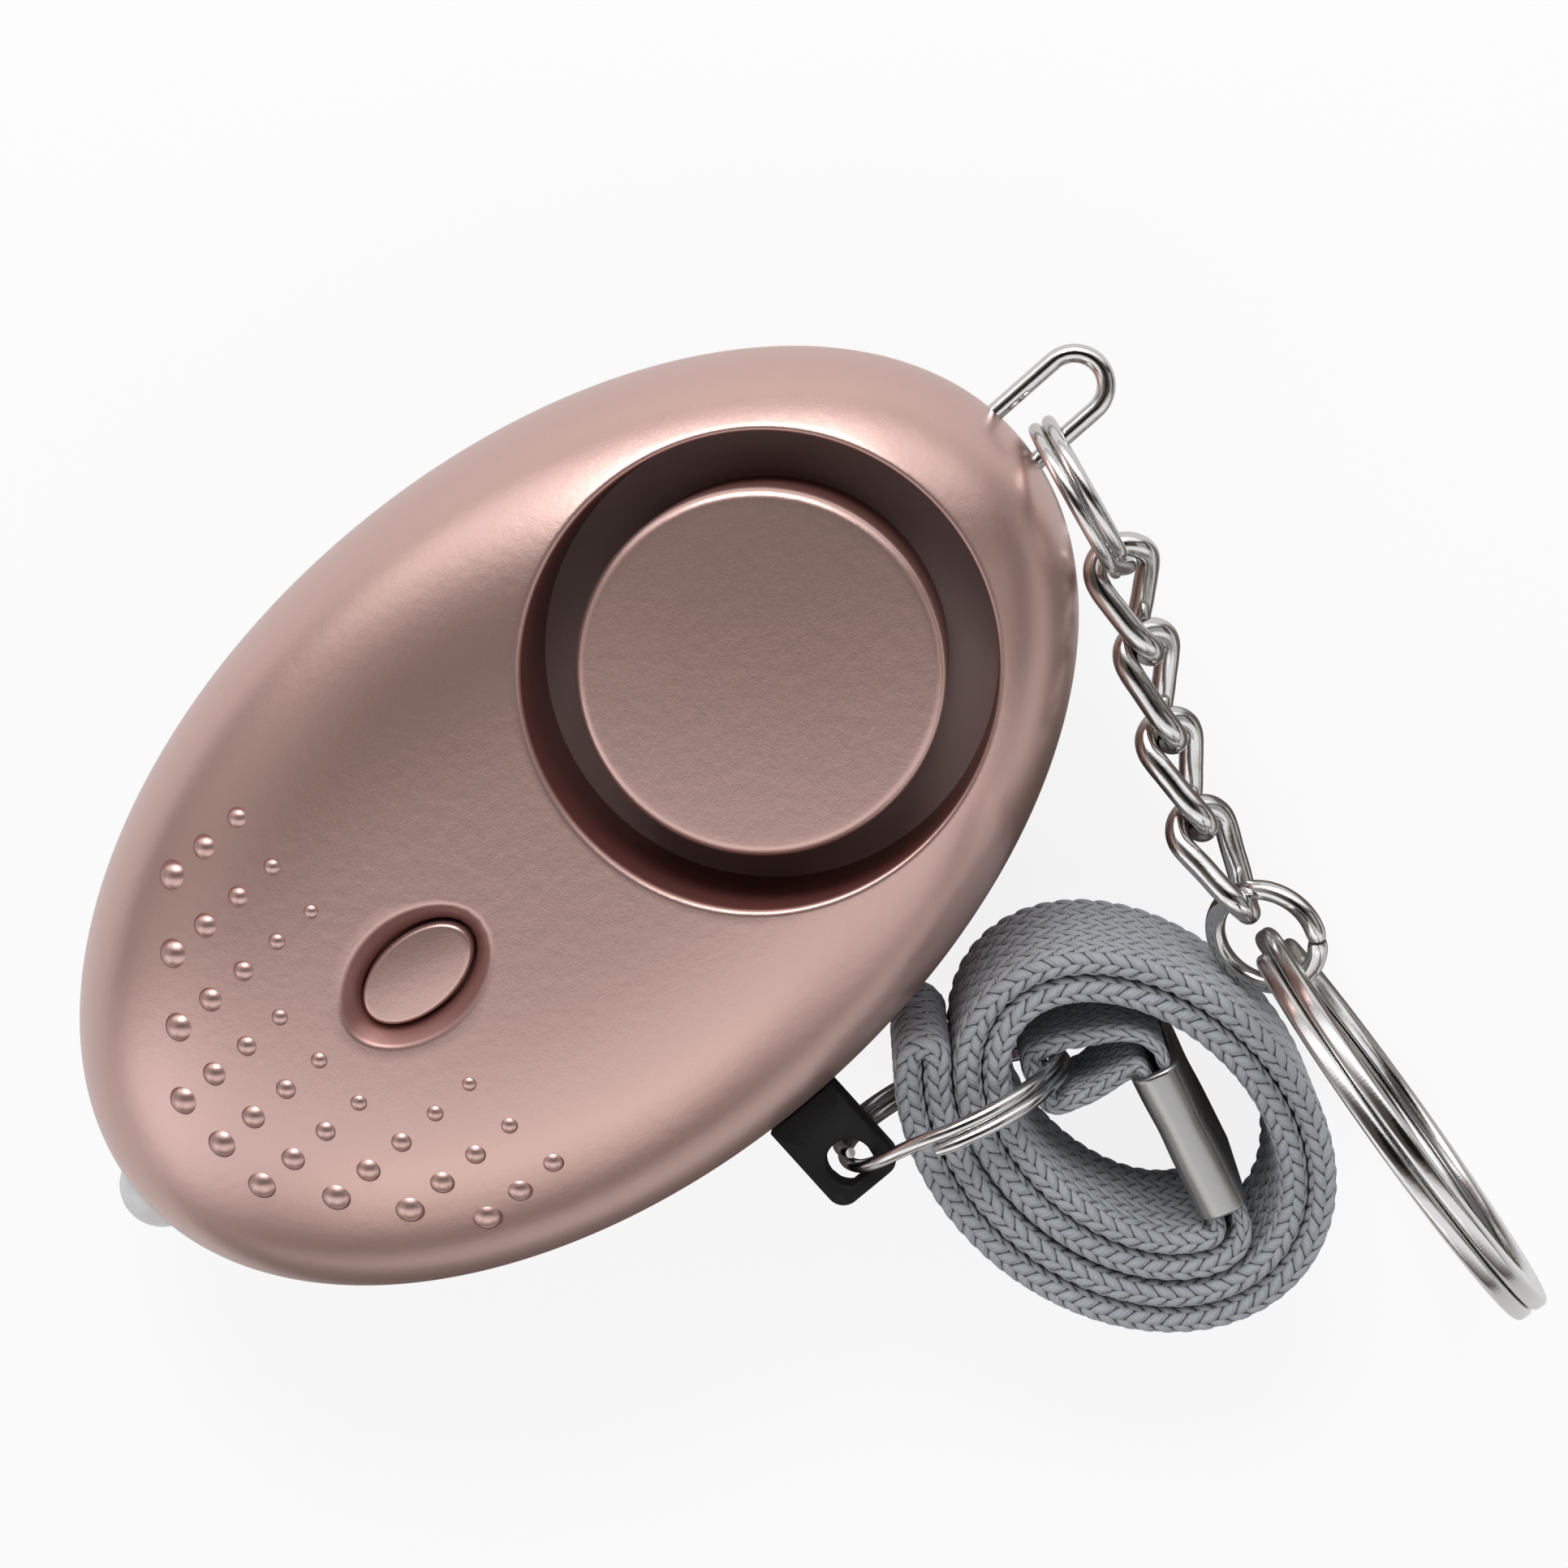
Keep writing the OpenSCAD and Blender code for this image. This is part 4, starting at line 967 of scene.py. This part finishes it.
class ALARM_OT_stage(Operator):
    """Make the camera, the lamps, the world and the floor"""

    bl_idname = "alarm.stage"
    bl_label = "Stage"

    def execute(self, context):
        scene = context.scene
        scene.view_settings.view_transform = "Standard"
        camera = bpy.data.objects.new("camera", bpy.data.cameras.new("camera"))
        camera.data.lens = 64
        camera.data.sensor_width = 36
        ahead = Vector((-0.1762, -0.0886, -0.9804)).normalized()
        up = Vector((0.6435, 0.7433, -0.1829))
        right = ahead.cross(up).normalized()
        axes = Matrix((right, right.cross(ahead), -ahead)).transposed()
        camera.matrix_world = Matrix.Translation(Vector((37.4, 7.57, 159.89)) * MM) @ axes.to_4x4()
        camera.data.clip_start = 0.005
        scene.collection.objects.link(camera)
        scene.camera = camera
        self.lamp(scene, "key_lamp", (0.16, 0.19, 0.2), 0.2, 0.13, 0.42)
        self.lamp(scene, "fill_lamp", (-0.17, -0.2, 0.2), 0.24, 0.16, 0.07)
        self.lamp(scene, "side_lamp", (0.22, -0.16, 0.16), 0.16, 0.16, 0.03)
        self.world(scene)
        self.floor(scene)
        return {"FINISHED"}

    def lamp(self, scene, name, place, width, height, power):
        """A soft rectangular lamp that faces the middle of the body."""
        light = bpy.data.lights.new(name, "AREA")
        light.shape = "RECTANGLE"
        light.size, light.size_y = width, height
        light.energy = power
        lamp = bpy.data.objects.new(name, light)
        aim = Vector((0.008, -0.01, 0.01)) - Vector(place)
        lamp.matrix_world = Matrix.Translation(place) @ aim.to_track_quat("-Z", "Y").to_matrix().to_4x4()
        scene.collection.objects.link(lamp)

    def world(self, scene):
        """A pale room: bright on two sides, dim near the floor, and dark where the camera stands."""
        scene.world = bpy.data.worlds.new("pale_room")
        scene.world.use_nodes = True
        f = Finish(scene.world.node_tree, "ShaderNodeOutputWorld")
        way = f.node("ShaderNodeTexCoord").outputs["Generated"]

        def towards(*aim):
            """How far a ray points towards an aim, from -1 to 1."""
            return f.value("ShaderNodeVectorMath", {"operation": "DOT_PRODUCT"}, {0: way, 1: aim}, output=1)

        level = 0.09 + towards(0.66, 0.75, 0).step(0.38, 0.7) * 1.35
        low_side = towards(-0.66, -0.75, 0)
        level = level + low_side.step(0.1, 0.4) - low_side.step(0.62, 0.9) * 0.85
        level = level + towards(-0.75, 0.66, 0).step(0.4, 0.8) * 0.36
        level = level * (0.45 + towards(0, 0, 1).step(0.04, 0.3) * 0.55)
        level = level * (1 - towards(0.176, 0.089, 0.98).step(0.945, 0.98) * 0.9)
        seen = self.seen_rays(f)
        level = level + (1 - level) * seen
        tint = f.blend(level.step(0.05, 1.1), (1, 0.92, 0.85), (0.985, 1, 1.03))
        tint = f.blend(seen, tint, (1, 1, 1))
        shade = f.node("ShaderNodeBackground", {}, {"Color": tint, "Strength": level})
        f.tree.links.new(shade.outputs[0], f.output.inputs["Surface"])

    @staticmethod
    def seen_rays(f):
        """1 for the camera's rays, straight or through the lamp, and 0 for all others."""
        straight = f.value("ShaderNodeLightPath", output="Is Camera Ray")
        through = f.value("ShaderNodeLightPath", output="Is Transmission Ray")
        return (straight + through).math("MINIMUM", 1.0)

    def floor(self, scene):
        """A pale table: near white with a soft shadow where it is seen, and with a band beside the pull pin
        where a shadow is painted that only reflections show."""
        material, f = new_finish("pale_table")
        across = f.value("ShaderNodeSeparateXYZ", {}, {0: f.place()}, output=1)
        # Painted shadow: in this band the table is dark brown to glossy rays only, so the body's edge beside it
        # reflects a shade
        shadow_strip = across.step(-0.055, -0.034) - across.step(-0.021, -0.011)
        dim = f.value("ShaderNodeLightPath", output="Is Glossy Ray") * shadow_strip
        pale = f.blend(f.noise(30), (0.88, 0.88, 0.88), (0.9, 0.9, 0.9))
        paint = f.node("ShaderNodeBsdfDiffuse", {}, {"Color": f.blend(dim, pale, (0.2, 0.17, 0.15))})
        glow = f.node("ShaderNodeEmission", {}, {"Color": (1, 1, 1), "Strength": 1.0})
        share = self.seen_rays(f) * 0.86
        mix = f.node("ShaderNodeMixShader", {}, {0: share, 1: paint.outputs[0], 2: glow.outputs[0]})
        f.tree.links.new(mix.outputs[0], f.output.inputs["Surface"])
        mesh = bpy.data.meshes.new("table_top")
        half = 3.0
        corners = [(-half, -half, 0), (half, -half, 0), (half, half, 0), (-half, half, 0)]
        mesh.from_pydata(corners, [], [(0, 1, 2, 3)])
        mesh.materials.append(material)
        table = bpy.data.objects.new("table_top", mesh)
        scene.collection.objects.link(table)


class ALARM_OT_strap(Operator):
    """Make the braided wrist strap and its crimped sleeve"""

    bl_idname = "alarm.strap"
    bl_label = "Wrist strap"

    def execute(self, context):
        sizes, colours = context.scene.alarm_sizes, context.scene.alarm_colours
        points, faces, uv, path = braided_strap(
            sizes.strap_thickness / MM, sizes.stitch_length / MM, sizes.stitch_relief / MM,
            sizes.stitch_columns)
        strap = piece("braided_strap", points, faces, braid_yarn(colours.braid), "strap", "braid",
                      ("wrist_strap",), 80, uv=uv)
        steel = plated("satin_steel", (0.36, 0.355, 0.34), 0.24)
        sleeve = piece("crimp_sleeve", *strap_crimp(), steel, "strap", "steel", ("strap_crimp",), 50)
        return {"FINISHED"}


class ALARM_OT_body(Operator):
    """Make the painted shells, the grip domes, the siren's cap and the button"""

    bl_idname = "alarm.body"
    bl_label = "Body"

    def execute(self, context):
        sizes = context.scene.alarm_sizes
        paint = rose_paint(context.scene.alarm_colours.paint)
        fronts = (
            ("painted_front", front_shell(sizes.seam / MM, sizes.rim_round / MM), "body", ("front_shell",)),
            ("grip_domes", grip_domes(), "body", ()),
            ("painted_cap", siren_cap(sizes.cap_round / MM, sizes.cap_crown / MM), "body", ("siren_cap",)),
            ("painted_button", push_button(sizes.button_crown / MM), "button", ("push_button",)))
        # Each front piece brings its painted shade as values on its points
        for name, (points, faces, painted_shade), body, stands_for in fronts:
            piece(name, points, faces, paint, body, "rose_paint", stands_for, values={"painted_shade": painted_shade})
        piece("painted_back", *back_shell(sizes.seam / MM), paint, "body", "rose_paint", ("back_shell",))
        return {"FINISHED"}


class ALARM_OT_torch(Operator):
    """Make the clear lamp and the cup inside it"""

    bl_idname = "alarm.torch"
    bl_label = "Torch"

    def execute(self, context):
        piece("lamp_dome", *lamp_dome(), clear_epoxy(), "body", "clear", ("torch_led",))
        piece("lamp_cup", *lamp_cup(), plated("lamp_silver", (0.8, 0.8, 0.79), 0.2), "body", "steel")
        return {"FINISHED"}


class ALARM_OT_pull_pin(Operator):
    """Make the tab and tongue of the pull pin"""

    bl_idname = "alarm.pull_pin"
    bl_label = "Pull pin"

    def execute(self, context):
        black = moulded("black_moulding", context.scene.alarm_colours.tab, 0.45, gloss=0.16)
        piece("pin_tab", *pull_pin(), black, "pin", "black_plastic", ("pull_pin",), 50)
        return {"FINISHED"}


class ALARM_OT_rings(Operator):
    """Make the key loop, the split rings, the jump ring and the curb chain"""

    bl_idname = "alarm.rings"
    bl_label = "Rings and chain"

    def execute(self, context):
        bright = plated("bright_nickel", context.scene.alarm_colours.plate, 0.09)
        wires = (
            ("wire_loop", key_loop(), "body", "key_loop"),
            ("pin_split_ring", pin_ring(), "pin_ring", "pin_ring"),
            ("bail_split_ring", bail_ring(), "bail", "bail_ring"),
            ("jump_wire", jump_ring(), "jump", "jump_ring"),
            ("key_split_ring", key_ring(), "key_ring", "key_ring"))
        for name, shape, body, node in wires:
            piece(name, *shape, bright, body, "nickel", (node,), 50)
        for index in range(4):
            number = index + 1
            piece(f"curb_link_{number}", *chain_link(index), bright, f"link_{number}", "nickel",
                  (f"chain_link_{number}",), 50)
        return {"FINISHED"}


class ALARM_OT_insides(Operator):
    """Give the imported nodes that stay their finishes"""

    bl_idname = "alarm.insides"
    bl_label = "Insides"

    def execute(self, context):
        finishes = {
            "dark_plastic": moulded("dark_moulding", (0.32, 0.22, 0.205), 0.5),
            "black_plastic": moulded("black_parts", (0.012, 0.012, 0.013), 0.45),
            "steel": plated("cell_steel", (0.6, 0.6, 0.6), 0.25),
            "brass": plated("leaf_brass", (0.6, 0.42, 0.16), 0.28),
            "board": moulded("green_board", (0.01, 0.09, 0.035), 0.35),
            "ceramic": moulded("fired_ceramic", (0.7, 0.69, 0.65), 0.6)}
        for part in frame["record"]["subparts"]:
            node = frame["nodes"][part["node"]]
            if not node.hide_render:
                node.data.materials.clear()
                node.data.materials.append(finishes[part["material_slot"]])
        return {"FINISHED"}


STEPS = (ALARM_OT_stage, ALARM_OT_strap, ALARM_OT_body, ALARM_OT_torch, ALARM_OT_pull_pin, ALARM_OT_rings,
         ALARM_OT_insides)


class ALARM_PT_pieces(Panel):
    """The steps that build the alarm, and its sizes and colours"""

    bl_idname = "ALARM_PT_pieces"
    bl_label = "Personal alarm"
    bl_space_type = "VIEW_3D"
    bl_region_type = "UI"
    bl_category = "Alarm"

    def draw(self, context):
        for group in (context.scene.alarm_sizes, context.scene.alarm_colours):
            for name in group.__annotations__:
                self.layout.prop(group, name)
        for step in STEPS:
            self.layout.operator(step.bl_idname)


CLASSES = (AlarmSizes, AlarmColours, *STEPS, ALARM_PT_pieces)


def register():
    for cls in CLASSES:
        bpy.utils.register_class(cls)
    bpy.types.Scene.alarm_sizes = PointerProperty(type=AlarmSizes)
    bpy.types.Scene.alarm_colours = PointerProperty(type=AlarmColours)


def unregister():
    del bpy.types.Scene.alarm_colours
    del bpy.types.Scene.alarm_sizes
    for cls in reversed(CLASSES):
        bpy.utils.unregister_class(cls)


def main():
    """Builds the alarm."""
    register()
    bpy.ops.alarm.stage()
    bpy.ops.alarm.strap()
    bpy.ops.alarm.body()
    bpy.ops.alarm.torch()
    bpy.ops.alarm.pull_pin()
    bpy.ops.alarm.rings()
    bpy.ops.alarm.insides()


if __name__ == "__main__":
    main()
